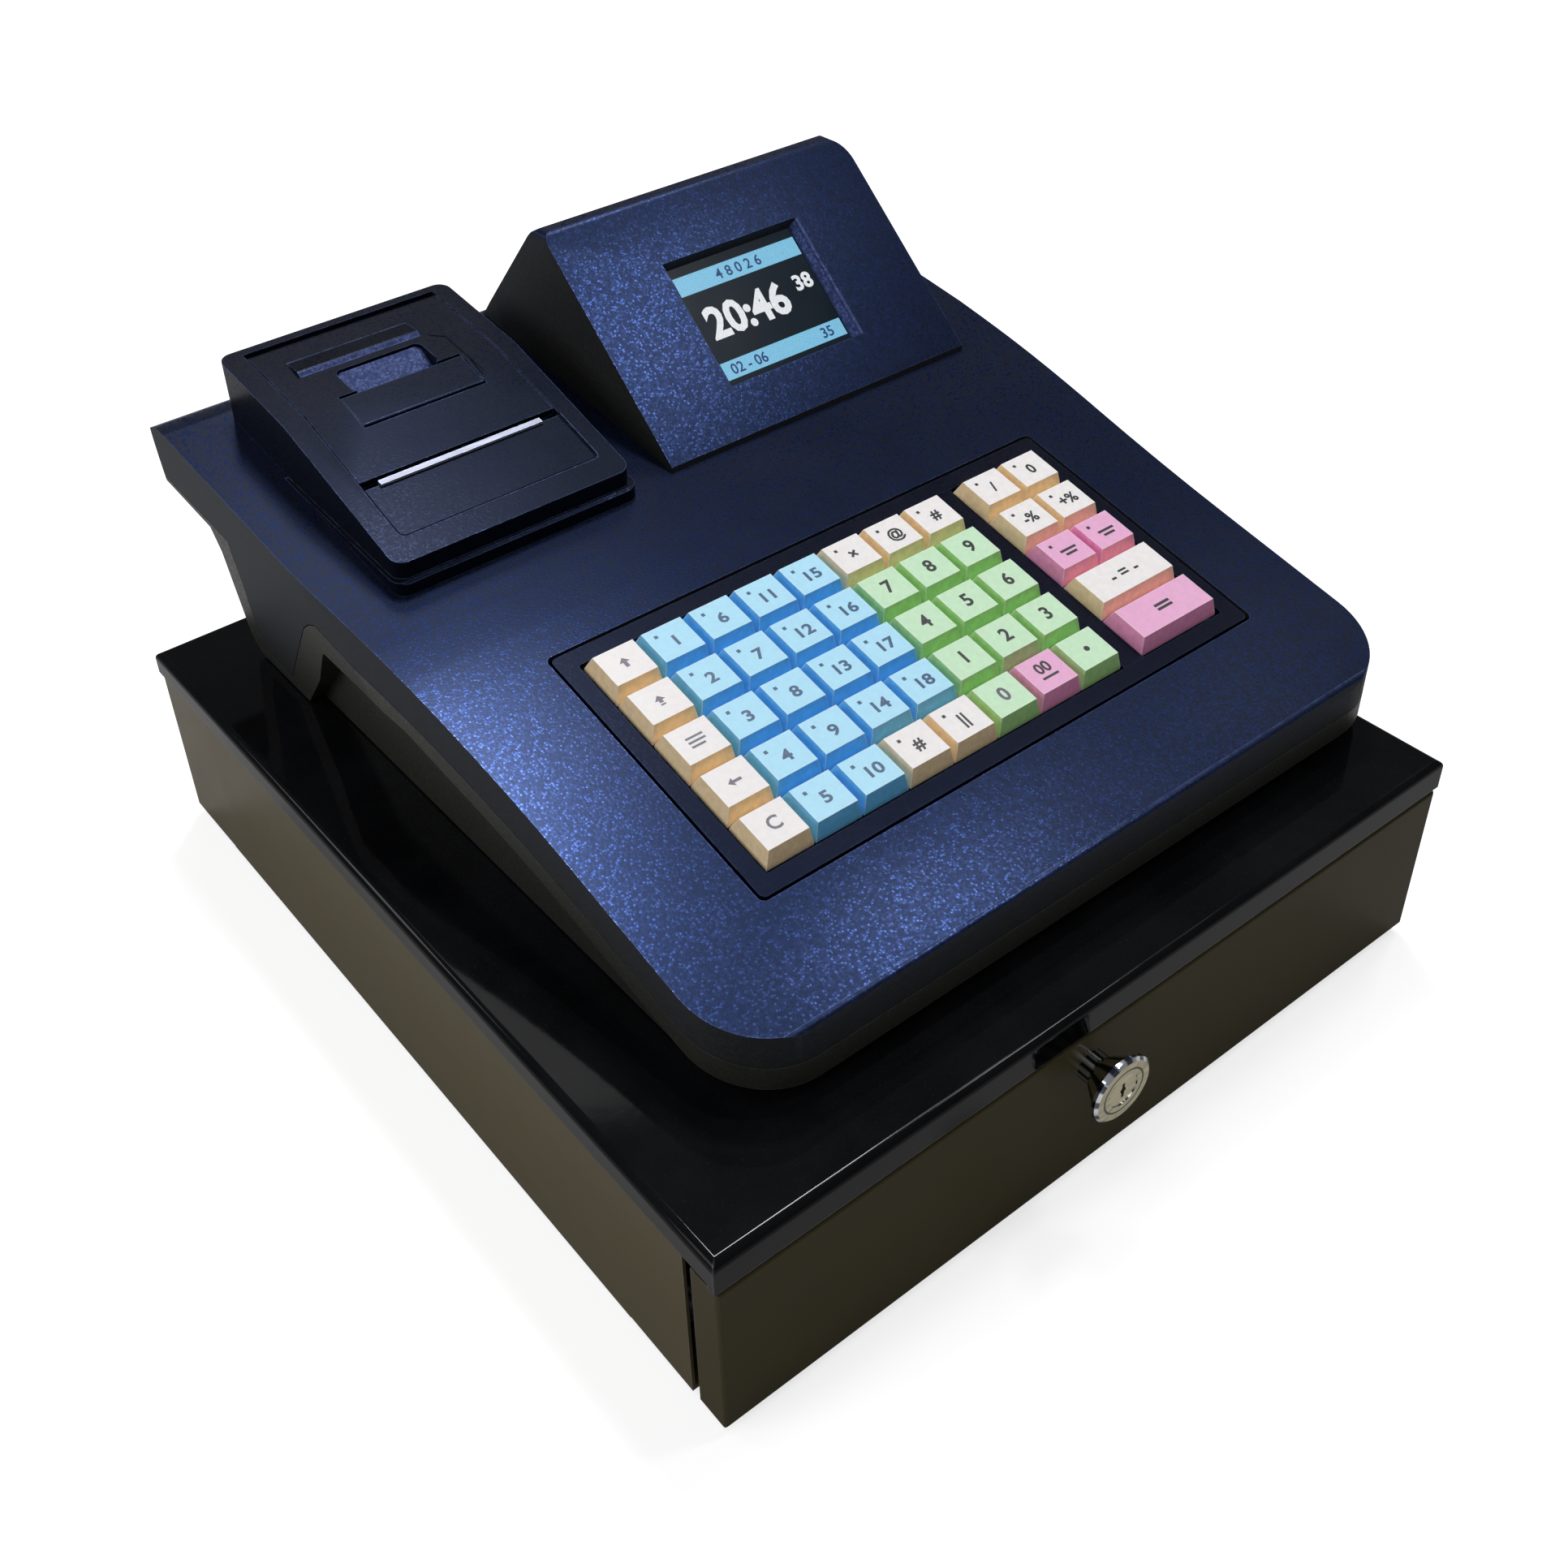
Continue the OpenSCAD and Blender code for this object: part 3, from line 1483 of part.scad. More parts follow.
// Stepping motor that drives the paper
module printer_motor() {
  color("#55585c")
    in_head() {
      rod_x(frame_x1 - frame_t - 19, frame_x1 - frame_t, pinion_y, pinion_z, 10);
      rod_x(frame_x1 - frame_t, frame_x1 - frame_t + 1.3, pinion_y, pinion_z, 2.9);
    }
}

// Tear bar behind the front panel of the printer
module tear_bar() {
  color("#eceff2")
    in_head()
      along_x(pr_cx - tear_w / 2, pr_cx + tear_w / 2)
        polygon([
          [slot_y0 - 1.3, pr_top(slot_y0) - 0.7], [slot_y0 + 0.3, pr_top(slot_y0) - 0.7],
          [slot_y0 + 0.3, pr_top(slot_y0) - 3.5], [slot_y0 + 1, pr_top(slot_y0) - 3.5],
          [slot_y0 + 1, pr_top(slot_y0) + 0.6], [slot_y0 - 1.3, pr_top(slot_y0) + 0.1]
        ]);
}

// Outline of a spur gear with involute flanks, slightly thin for backlash
function inv_pt(rb, t) = rb * [cos(t) + t * PI / 180 * sin(t), sin(t) - t * PI / 180 * cos(t)];
function turn(p, a) = [p[0] * cos(a) - p[1] * sin(a), p[0] * sin(a) + p[1] * cos(a)];

module gear_outline(teeth) {
  rp = gear_module * teeth / 2;
  rb = rp * cos(20);
  ra = rp + 0.85 * gear_module;
  rf = rp - 1.2 * gear_module;
  tp = sqrt(pow(rp / rb, 2) - 1) * 180 / PI;
  ta = sqrt(pow(ra / rb, 2) - 1) * 180 / PI;
  // angle of the flank's point on the pitch circle
  ap = atan2(inv_pt(rb, tp)[1], inv_pt(rb, tp)[0]);
  half = 90 / teeth * 0.86;
  flank = [for (i = [0 : 4]) turn(inv_pt(rb, ta * i / 4), -ap - half)];
  right = concat([turn([rf, 0], -ap - half)], flank);
  left = [for (i = [5 : -1 : 0]) [right[i][0], -right[i][1]]];
  polygon([for (k = [0 : teeth - 1]) each [for (p = concat(right, left)) turn(p, k * 360 / teeth)]]);
}

// Gear on an axis along X; the first tooth points along Y, turned up by a
module gear_x(x0, y, z, teeth, bore, a) {
  translate([x0, y, z])
    rotate([a, 0, 0])
      difference() {
        along_x(0, gear_w)
          gear_outline(teeth);
        rod_x(-1, gear_w + 1, 0, 0, bore);
      }
}

module idler_gear() {
  color("#efe9d8")
    in_head()
      gear_x(frame_x1 + 0.8, platen_y, idler_z, idler_teeth, 2 + run, 90);
}

module motor_pinion() {
  color("#c9a44a")
    in_head() {
      gear_x(frame_x1 + 0.8, pinion_y, pinion_z, pinion_teeth, 0.9, 45 + 180 / pinion_teeth);
      rod_x(frame_x1 - frame_t + 1.6, frame_x1 + gear_w + 1.5, pinion_y, pinion_z, 1);
    }
}

// Rubber platen with its shaft and gear, carried by the hatch
module platen_roller() {
  color("#2b2b2b")
    in_head() {
      rod_x(pr_cx - 29, pr_cx + 29, platen_y, platen_z, platen_r);
      rod_x(pr_cx - 32, frame_x1 + gear_w + 1.2, platen_y, platen_z, 1.6);
      gear_x(frame_x1 + 0.8, platen_y, platen_z, platen_teeth, 1, 90 + 180 / platen_teeth);
    }
}

module paper_roll() {
  color("#f4f4f2")
    in_head()
      difference() {
        rod_x(pr_cx - roll_w / 2, pr_cx + roll_w / 2, roll_y, roll_z, roll_r);
        rod_x(pr_cx - 40, pr_cx + 40, roll_y, roll_z, 4 + run);
        for (s = [-1, 1])
          rod_x(pr_cx + s * roll_w / 2 - 0.6, pr_cx + s * roll_w / 2 + 0.6, roll_y, roll_z, 6.5);
      }
}

// Hatch over the paper roll with its hinge barrel and the platen's brackets
module printer_hatch() {
  x0 = open_x0 + 0.4;
  x1 = open_x1 - 0.4;
  color("#1a1c24")
    in_head() {
      difference() {
        union() {
          along_x(x0, x1)
            polygon([
              [slot_y1, pr_top(slot_y1) - hatch_t], [knee_y, pr_top(knee_y) - hatch_t],
              [hinge_y, pr_top(hinge_y) - hatch_t], [hinge_y, pr_top(hinge_y)],
              [knee_y, pr_top(knee_y)], [slot_y1, pr_top(slot_y1)]
            ]);
          for (x = [x0, x1 - 1.8])
            along_x(x, x + 1.8)
              polygon([
                [slot_y1 + 1, pr_top(slot_y1) - 7], [knee_y, pr_top(knee_y) - 8],
                [hinge_y, pr_top(hinge_y) - 6], [hinge_y, pr_top(hinge_y) - 1],
                [knee_y, pr_top(knee_y) - 1], [slot_y1 + 1, pr_top(slot_y1) - 1]
              ]);
          // finger pocket's tub
          box([pocket_x0 - 1.5, pocket_y0 - 1.5, pr_top(pocket_y0) - pocket_deep - 1.5],
            [pocket_x1 + 1.5, pocket_y1 + 1.5, pr_top(pocket_y0) - 1]);
        }
        along_z(pr_top(pocket_y0) - pocket_deep, 140)
          round_rect(pocket_x0, pocket_x1, pocket_y0, pocket_y1, 3);
        // room for the platen's gear
        rod_x(frame_x1 + play, frame_x1 + gear_w + 1.3, platen_y, platen_z,
          gear_module * (platen_teeth / 2 + 0.85) + 0.5);
        // opening of the latch lever
        box([lever_x0 - 0.3, lever_y0 - 0.5, 80], [lever_x1 + 0.3, pocket_y0 + 0.5, 140]);
      }
      rod_x(x0, x1, hinge_y, hinge_z, barrel_hinge_r);
      rod_x(x0 - 3.2, x1 + 3.2, hinge_y, hinge_z, hinge_pin_r);
      // brackets of the platen
      for (x = [pr_cx - 30.6, pr_cx + 30.6])
        difference() {
          box([x - 0.9, platen_y - 3, platen_z - 3.5], [x + 0.9, platen_y + 6, pr_top(platen_y - 3) - 1]);
          rod_x(x - 2, x + 2, platen_y, platen_z, 1.6 + run);
        }
      // cheeks and pins of the latch lever
      for (x = [lever_x0 - 2.3, lever_x1 + 0.3])
        box([x, lever_y0, lever_z - 2.2], [x + 2, lever_y0 + 6, lever_z + 1]);
      for (x = [lever_x0 - 0.5, lever_x1 - 1.1])
        rod_x(x, x + 1.6, lever_y0 + 3, lever_z, 0.9);
    }
}

// Lever plate that the finger lifts to open the hatch
module hatch_latch() {
  color("#20222b")
    in_head()
      difference() {
        along_x(lever_x0, lever_x1)
          polygon([
            [lever_y0 + 0.9, lever_z - 2], [lever_y0 + 0.9, lever_z + 2],
            [lever_y0 + 1.4, pr_top(lever_y0 + 1.4)],
            [pocket_y0 - 1, pr_top(pocket_y0 - 1)], [pocket_y0 - 0.4, pr_top(pocket_y0) - 2.2],
            [lever_y0 + 7, pr_top(lever_y0 + 7) - 2.2], [lever_y0 + 5.4, lever_z - 2]
          ]);
        for (x = [lever_x0 - 1, lever_x1 - 1.4])
          rod_x(x, x + 2.4, lever_y0 + 3, lever_z, 0.9 + run);
      }
}

// --- Boards and sockets ---

module main_board() {
  z = main_z;
  z1 = z + 1.6;
  x0 = main_x0;
  y0 = main_y0;
  color("#2f6b45")
    in_head() {
      difference() {
        box([x0, y0, z], [x0 + main_w, y0 + main_d, z1]);
        for (p = main_posts)
          rod_z(z - 1, z + 3, p[0], p[1], 1.5);
      }
      // chips, plugs, a heat sink and a row of capacitors
      box([x0 + 36, y0 + 22, z1], [x0 + 58, y0 + 44, z1 + 2.2]);
      box([x0 + 72, y0 + 18, z1], [x0 + 86, y0 + 38, z1 + 2]);
      box([x0 + 8, y0 + 32, z1], [x0 + 20, y0 + 64, z1 + 7.4]);
      for (i = [0 : 3])
        rod_z(z1 - 0.1, z1 + 12.4, x0 + 96, y0 + 17 + 14 * i, 4);
      box([x0 + 36, y0 + 72, z1], [x0 + 82, y0 + 80, z1 + 6.4]);
      box([x0 + 112, y0 + 8, z1], [x0 + 122, y0 + 58, z1 + 5.4]);
    }
}

// Sockets in the rear opening
module power_inlet() {
  y1 = leg_rear - 1;
  color("#1c1c1f")
    in_head()
      difference() {
        union() {
          box([socket_x0 - 2, leg_rear - 14, socket_z0 - 2],
            [socket_x1 + 2, leg_rear - shell_t, socket_z1 + 2]);
          box([socket_x0 + play, leg_rear - 4, socket_z0 + play],
            [socket_x1 - play, y1, socket_z1 - play]);
        }
        rod_y(y1 - 9, y1 + 1, socket_x0 + 12, socket_z0 + 10, 4);
        box([socket_x0 + 25, y1 - 9, socket_z0 + 5], [socket_x0 + 38, y1 + 1, socket_z0 + 16]);
        box([socket_x0 + 45, y1 - 9, socket_z0 + 6], [socket_x0 + 62, y1 + 1, socket_z0 + 15]);
      }
}

// --- Drawing ---

drawer_cover();
drawer_shell();
runner_rails();
drawer_feet();
latch_solenoid();
ejector_spring();
front_rollers();
latch_plunger();
latch_hook();
drawer_front();
till_box();
cash_tray();
coin_tray();
lock_barrel();
rear_rollers();
lock_plug();
bill_clip_1();
bill_clip_2();
bill_clip_3();
bill_clip_4();
lower_shell();
upper_shell();
head_feet();
display_hood();
display_module();
printer_housing();
printer_frame();
thermal_head();
printer_motor();
tear_bar();
main_board();
power_inlet();
keyboard_frame();
key_plate();
key_switches();
printer_hatch();
hatch_latch();
platen_roller();
idler_gear();
motor_pinion();
paper_roll();
key_0();
key_1();
key_2();
key_3();
key_4();
key_5();
key_6();
key_7();
key_8();
key_9();
key_00();
key_point();
key_subtotal();
key_total();
keys_side();
keys_department();
keys_function();
keys_payment();
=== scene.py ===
"""Looks of the ticket register: finishes, key legends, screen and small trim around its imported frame."""

import json
import math

import bmesh
import bpy
from mathutils import Matrix, Vector


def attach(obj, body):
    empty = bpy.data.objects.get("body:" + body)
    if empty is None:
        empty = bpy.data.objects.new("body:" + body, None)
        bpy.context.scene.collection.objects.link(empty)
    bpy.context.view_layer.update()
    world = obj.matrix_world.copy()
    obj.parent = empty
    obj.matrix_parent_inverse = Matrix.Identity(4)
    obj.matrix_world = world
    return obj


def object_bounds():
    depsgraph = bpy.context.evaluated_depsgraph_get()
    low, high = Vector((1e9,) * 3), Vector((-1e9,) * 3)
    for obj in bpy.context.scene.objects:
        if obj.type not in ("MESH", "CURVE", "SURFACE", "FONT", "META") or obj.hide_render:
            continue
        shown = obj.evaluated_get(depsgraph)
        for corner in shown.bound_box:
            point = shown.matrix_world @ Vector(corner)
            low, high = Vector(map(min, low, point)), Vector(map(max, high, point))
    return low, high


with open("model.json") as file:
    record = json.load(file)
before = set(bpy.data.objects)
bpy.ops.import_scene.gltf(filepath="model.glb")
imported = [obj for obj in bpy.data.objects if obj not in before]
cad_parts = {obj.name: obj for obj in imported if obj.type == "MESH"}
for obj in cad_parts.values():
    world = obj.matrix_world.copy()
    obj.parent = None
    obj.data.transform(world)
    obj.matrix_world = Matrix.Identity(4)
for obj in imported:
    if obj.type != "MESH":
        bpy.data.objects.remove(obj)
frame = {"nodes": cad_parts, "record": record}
cad_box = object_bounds()
nodes = frame["nodes"]

MM = 0.001

# ---------------------------------------------------------------- places, in millimetres
# the middle of the head's front edge, at its foot
HEAD = Vector((20, -148.5, 77))

# key field on the sloping deck, measured from HEAD
DECK_SLOPE = math.radians(13.1)
DECK_RISE = 26.1
KEYS_LEFT = -96.8
KEYS_FRONT = 48.2
KEYS_SUNK = 2
KEY_PITCH = 19.05
KEY_HEIGHT = 7

# face of the display hood and the window in it
HOOD_FOOT = Vector((56.5, 201.5, 72.81))
HOOD_SLOPE = math.radians(41.5)
WINDOW_W = 65
WINDOW_H = 53
WINDOW_UP = 19.5
WINDOW_DEEP = 4.5

# printer: the steep face with the front panel, and the hatch beyond the knee
PRINTER_FOOT = Vector((-81.25, 198.5, 81.61))
PRINTER_SLOPE = math.radians(16.9)
PRINTER_KNEE = Vector((-81.25, 270.5, 103.48))
HATCH_SLOPE = math.radians(8)
PANEL_LEFT = -38.75
PANEL_RIGHT = 40.25
PANEL_LOW = 10.45
PANEL_TOP = 35.4
PANEL_CORNER = 2.6
POCKET_BACK = 19.15

# middle of the lock's face
LOCK = Vector((-13.5, -189.5, 49.5))


def plane_at(foot, slope):
    """Frame of a sloping face: u runs to the right, v up the slope and w out of it."""
    return Matrix.Translation(foot * MM) @ Matrix.Rotation(slope, 4, "X")


keys_rise = DECK_RISE + KEYS_FRONT * math.tan(DECK_SLOPE) - KEYS_SUNK
ON_KEYS = plane_at(HEAD + Vector((KEYS_LEFT, KEYS_FRONT, keys_rise)), DECK_SLOPE)
ON_HOOD = plane_at(HEAD + HOOD_FOOT, HOOD_SLOPE)
ON_PANEL = plane_at(HEAD + PRINTER_FOOT, PRINTER_SLOPE)
ON_HATCH = plane_at(HEAD + PRINTER_KNEE, HATCH_SLOPE)


# ---------------------------------------------------------------- camera
def aim_camera():
    """Camera at the front left, above the register, level apart from a slight roll."""
    place = (-0.3128, -0.4052, 0.4780)
    azimuth = math.radians(35.9)
    elevation = math.radians(36.5)
    roll = math.radians(-2.9)
    focal_px = 2213.0
    frame_px = 1932.0
    centre_px = (878.5, 807.4)
    sensor = 36
    ahead = Vector((math.sin(azimuth) * math.cos(elevation),
                    math.cos(azimuth) * math.cos(elevation),
                    -math.sin(elevation)))
    right = Vector((math.cos(azimuth), -math.sin(azimuth), 0))
    down = ahead.cross(right)
    image_right = right * math.cos(roll) - down * math.sin(roll)
    image_down = right * math.sin(roll) + down * math.cos(roll)
    turn = Matrix((image_right, -image_down, -ahead)).transposed()
    data = bpy.data.cameras.new("camera")
    data.sensor_width = sensor
    data.lens = sensor * focal_px / frame_px
    data.shift_x = (frame_px / 2 - centre_px[0]) / frame_px
    data.shift_y = (centre_px[1] - frame_px / 2) / frame_px
    data.clip_start = 0.01
    camera = bpy.data.objects.new("camera", data)
    camera.matrix_world = Matrix.Translation(place) @ turn.to_4x4()
    bpy.context.scene.collection.objects.link(camera)
    bpy.context.scene.camera = camera


# ---------------------------------------------------------------- shader helpers
# sockets that the Mix node uses for colours
MIX_FACTOR = 0
MIX_A = 6
MIX_B = 7
MIX_RESULT = 2


class Nodes:
    """Short words for adding and joining the nodes of one material or group."""

    def __init__(self, tree):
        self.tree = tree

    def add(self, kind, **values):
        made = self.tree.nodes.new(kind)
        for name, value in values.items():
            setattr(made, name, value)
        return made

    def join(self, source, target):
        self.tree.links.new(source, target)

    def feed(self, target, value):
        """Joins a socket, or sets a number or colour."""
        if isinstance(value, bpy.types.NodeSocket):
            self.join(value, target)
        else:
            target.default_value = value

    def math(self, operation, *values):
        made = self.add("ShaderNodeMath", operation=operation)
        for socket, value in zip(made.inputs, values):
            self.feed(socket, value)
        return made.outputs[0]

    def ramp(self, value, low, high, out_low=0.0, out_high=1.0):
        """Carries low..high over to out_low..out_high and stops at both ends."""
        made = self.add("ShaderNodeMapRange", clamp=True)
        for name, entry in zip(("Value", "From Min", "From Max", "To Min", "To Max"),
                               (value, low, high, out_low, out_high)):
            self.feed(made.inputs[name], entry)
        return made.outputs["Result"]

    def mix(self, factor, a, b):
        made = self.add("ShaderNodeMix", data_type="RGBA")
        self.feed(made.inputs[MIX_FACTOR], factor)
        self.feed(made.inputs[MIX_A], a)
        self.feed(made.inputs[MIX_B], b)
        return made.outputs[MIX_RESULT]

    def noise(self, place, scale, detail=2.0, roughness=0.5):
        made = self.add("ShaderNodeTexNoise")
        self.join(place, made.inputs["Vector"])
        self.feed(made.inputs["Scale"], scale)
        made.inputs["Detail"].default_value = detail
        made.inputs["Roughness"].default_value = roughness
        return made.outputs["Fac"]

    def place(self, stretch=None):
        """Where a point lies on its object, in metres, stretched if need be."""
        made = self.add("ShaderNodeTexCoord")
        if stretch is None:
            return made.outputs["Object"]
        mapping = self.add("ShaderNodeMapping")
        self.join(made.outputs["Object"], mapping.inputs["Vector"])
        mapping.inputs["Scale"].default_value = stretch
        return mapping.outputs["Vector"]

    def axes(self, vector):
        made = self.add("ShaderNodeSeparateXYZ")
        self.join(vector, made.inputs[0])
        return made.outputs

    def normal_axes(self):
        """X, Y and Z of the way that a surface faces."""
        return self.axes(self.add("ShaderNodeNewGeometry").outputs["Normal"])


def new_group(name, inputs, outputs):
    """A shader group of plain numbers: its nodes, what goes in and what comes out."""
    tree = bpy.data.node_groups.new(name, "ShaderNodeTree")
    for label, default in inputs:
        socket = tree.interface.new_socket(name=label, in_out="INPUT", socket_type="NodeSocketFloat")
        socket.default_value = default
    for label in outputs:
        tree.interface.new_socket(name=label, in_out="OUTPUT", socket_type="NodeSocketFloat")
    made = Nodes(tree)
    return made, made.add("NodeGroupInput").outputs, made.add("NodeGroupOutput").inputs


def make_grain():
    """Spark-eroded grain of moulded plastic: pebbles of uneven height, each with its own brightness."""
    n, given, out = new_group("moulded_grain", [("Pebbles", 900.0)], ["Height", "Mottle"])
    place = n.place()
    pebbles = n.add("ShaderNodeTexVoronoi", feature="F1")
    n.join(place, pebbles.inputs["Vector"])
    n.join(given["Pebbles"], pebbles.inputs["Scale"])
    parts = n.add("ShaderNodeSeparateColor")
    n.join(pebbles.outputs["Color"], parts.inputs[0])
    chance = parts.outputs[0]
    dome = n.ramp(pebbles.outputs["Distance"], 0.1, 0.75, 1.0, 0.0)
    uneven = n.ramp(chance, 0.0, 1.0, 0.35, 1.0)
    n.join(n.math("MULTIPLY", dome, uneven), out["Height"])
    brightness = n.ramp(chance, 0.2, 0.95)
    n.join(n.math("MULTIPLY", brightness, n.ramp(dome, 0.0, 0.7, 0.35, 1.0)), out["Mottle"])
    return n.tree


def make_wear():
    """Mask of the edges, where the rounded normal leaves the true one, broken up by noise; it marks rubbed
    edges, and on the navy plastics, the enamel and the keys also a painted highlight along them.
    """
    n, given, out = new_group("edge_wear_and_highlight", [("Width", 0.0006), ("Amount", 0.5)], ["Mask"])
    rounded = n.add("ShaderNodeBevel", samples=4)
    n.join(given["Width"], rounded.inputs["Radius"])
    true = n.add("ShaderNodeNewGeometry")
    dot = n.add("ShaderNodeVectorMath", operation="DOT_PRODUCT")
    n.join(rounded.outputs["Normal"], dot.inputs[0])
    n.join(true.outputs["True Normal"], dot.inputs[1])
    edge = n.ramp(dot.outputs["Value"], 0.985, 0.88)
    broken = n.ramp(n.noise(n.place(), 160.0, 4.0, 0.7), 0.3, 0.55)
    n.join(n.math("MULTIPLY", n.math("MULTIPLY", edge, broken), given["Amount"]), out["Mask"])
    return n.tree


def make_dust():
    """Thin dust: more on faces that look up, in soft uneven patches."""
    n, given, out = new_group("settled_dust", [("Amount", 0.2)], ["Mask"])
    up = n.ramp(n.normal_axes()["Z"], 0.2, 1.0)
    patches = n.ramp(n.noise(n.place(), 22.0, 5.0, 0.65), 0.35, 0.75)
    specks = n.ramp(n.noise(n.place(), 1400.0, 1.0), 0.66, 0.74)
    both = n.math("ADD", n.math("MULTIPLY", patches, 0.45), n.math("MULTIPLY", specks, 0.55))
    n.join(n.math("MULTIPLY", n.math("MULTIPLY", both, up), given["Amount"]), out["Mask"])
    return n.tree


def make_ripple():
    """Orange peel of a sprayed enamel, with a longer waviness of the sheet below it."""
    n, given, out = new_group("enamel_ripple", [("Peel", 260.0)], ["Height", "Cloud"])
    place = n.place()
    peel = n.noise(place, given["Peel"], 2.0, 0.45)
    wave = n.noise(place, 7.0, 1.0)
    n.join(n.math("ADD", n.math("MULTIPLY", peel, 0.35), wave), out["Height"])
    n.join(n.noise(place, 40.0, 4.0, 0.6), out["Cloud"])
    return n.tree


def make_brush():
    """Fine parallel marks of rolled or turned metal."""
    n, given, out = new_group("metal_marks", [("Fineness", 1.0)], ["Height", "Streak"])
    place = n.place((60, 1400, 1400))
    stretched = n.add("ShaderNodeVectorMath", operation="SCALE")
    n.join(place, stretched.inputs[0])
    n.join(given["Fineness"], stretched.inputs["Scale"])
    marks = n.noise(stretched.outputs[0], 1.0, 3.0, 0.6)
    n.join(marks, out["Height"])
    n.join(n.ramp(marks, 0.3, 0.7), out["Streak"])
    return n.tree


GRAIN = make_grain()
WEAR_AND_HIGHLIGHT = make_wear()
DUST = make_dust()
RIPPLE = make_ripple()
BRUSH = make_brush()


def start(name):
    """A new material, its nodes and the sockets of its shader."""
    material = bpy.data.materials.new(name)
    material.use_nodes = True
    n = Nodes(material.node_tree)
    return material, n, n.tree.nodes["Principled BSDF"].inputs


def effect(n, tree, **values):
    """Places a shared group with its own values, and gives its outputs."""
    made = n.add("ShaderNodeGroup", node_tree=tree)
    for label, value in values.items():
        made.inputs[label].default_value = value
    return made.outputs


def bump(n, shader, height, depth, strength=1.0):
    """Relief of the given depth in metres."""
    made = n.add("ShaderNodeBump")
    made.inputs["Distance"].default_value = depth
    made.inputs["Strength"].default_value = strength
    n.join(height, made.inputs["Height"])
    n.join(made.outputs["Normal"], shader["Normal"])


def rgb(red, green, blue):
    """Colour written as 0-255 display values."""
    shares = (red / 255, green / 255, blue / 255)
    return tuple(v / 12.92 if v <= 0.04045 else ((v + 0.055) / 1.055) ** 2.4 for v in shares) + (1.0,)


def shaded(colour, factor):
    """The same colour made darker, or lighter above a factor of 1."""
    return tuple(c * factor for c in colour[:3]) + (1.0,)


# ---------------------------------------------------------------- finishes
# faces whose normal rises less than this stand upright; above the second they lie flat or slope
UPRIGHT_BELOW = 0.3
SLOPING_ABOVE = 0.6
UPRIGHT_ROUGH = 0.62


def moulded(name, dark, light, worn_and_lit_edge, rough, pebbles, depth, dust=0.12, level=0.5, spread=0.07,
            edge=0.5, tint=None, flake=0.0, upright=None):
    """Moulded plastic with a grain; dark lies in the grain's valleys and light on its tops.

    tint colours the gloss, and flake is the share of metal powder in the tops, which makes the
    plastic sparkle. upright, if given, is painted shade: a darker, duller colour put on upright faces.
    """
    material, n, shader = start(name)
    grain = effect(n, GRAIN, Pebbles=pebbles)
    wear_and_highlight = effect(n, WEAR_AND_HIGHLIGHT, Width=0.0005, Amount=edge)
    dusty = effect(n, DUST, Amount=dust)
    colour = n.mix(grain["Mottle"], dark, light)
    # edges take the edge colour; on the navy finishes it is a painted highlight line
    colour = n.mix(wear_and_highlight["Mask"], colour, worn_and_lit_edge)
    colour = n.mix(dusty["Mask"], colour, rgb(120, 122, 128))
    dullness = n.ramp(grain["Mottle"], 0.0, 1.0, rough + spread, rough - spread)
    # painted shade: upright faces take the darker upright colour, besides their higher roughness
    if upright:
        steep = n.ramp(n.normal_axes()["Z"], SLOPING_ABOVE, UPRIGHT_BELOW)
        colour = n.mix(steep, colour, n.mix(grain["Mottle"], upright, shaded(upright, 1.5)))
        dullness = n.ramp(steep, 0.0, 1.0, dullness, UPRIGHT_ROUGH)
    if flake:
        metal = n.math("MULTIPLY", grain["Mottle"], flake)
        if upright:
            metal = n.math("MULTIPLY", metal, n.math("SUBTRACT", 1.0, steep))
        n.join(metal, shader["Metallic"])
    if tint:
        shader["Specular Tint"].default_value = tint
    n.join(colour, shader["Base Color"])
    n.join(dullness, shader["Roughness"])
    shader["Specular IOR Level"].default_value = level
    bump(n, shader, grain["Height"], depth)
    return material


def enamel(name, dark, light, rough, level, spread=0.06):
    """Gloss enamel on sheet steel, with orange peel, faint clouding and rubbed edges, pale and metallic as
    bare steel and also a painted highlight along the bent edges.
    """
    material, n, shader = start(name)
    ripple = effect(n, RIPPLE, Peel=260.0)
    wear_and_highlight = effect(n, WEAR_AND_HIGHLIGHT, Width=0.0008, Amount=0.6)
    dusty = effect(n, DUST, Amount=0.05)
    colour = n.mix(ripple["Cloud"], dark, light)
    # rubbed edges: bare steel, and a painted highlight line along the bent edges
    colour = n.mix(wear_and_highlight["Mask"], colour, rgb(112, 116, 126))
    colour = n.mix(dusty["Mask"], colour, rgb(110, 112, 116))
    n.join(colour, shader["Base Color"])
    n.join(n.math("MULTIPLY", wear_and_highlight["Mask"], 0.8), shader["Metallic"])
    n.join(n.ramp(ripple["Cloud"], 0.3, 0.7, rough, rough + spread), shader["Roughness"])
    shader["Specular IOR Level"].default_value = level
    bump(n, shader, ripple["Height"], 0.00002)
    return material


def bare_metal(name, dark, light, rough, fineness=1.0, depth=0.000004):
    """Uncoated or plated metal with fine marks."""
    material, n, shader = start(name)
    marks = effect(n, BRUSH, Fineness=fineness)
    wear_and_highlight = effect(n, WEAR_AND_HIGHLIGHT, Width=0.0004, Amount=0.5)
    colour = n.mix(marks["Streak"], dark, light)
    colour = n.mix(wear_and_highlight["Mask"], colour, rgb(235, 236, 238))
    n.join(colour, shader["Base Color"])
    n.join(n.ramp(marks["Streak"], 0.0, 1.0, rough + 0.08, rough), shader["Roughness"])
    shader["Metallic"].default_value = 1.0
    bump(n, shader, marks["Height"], depth)
    return material


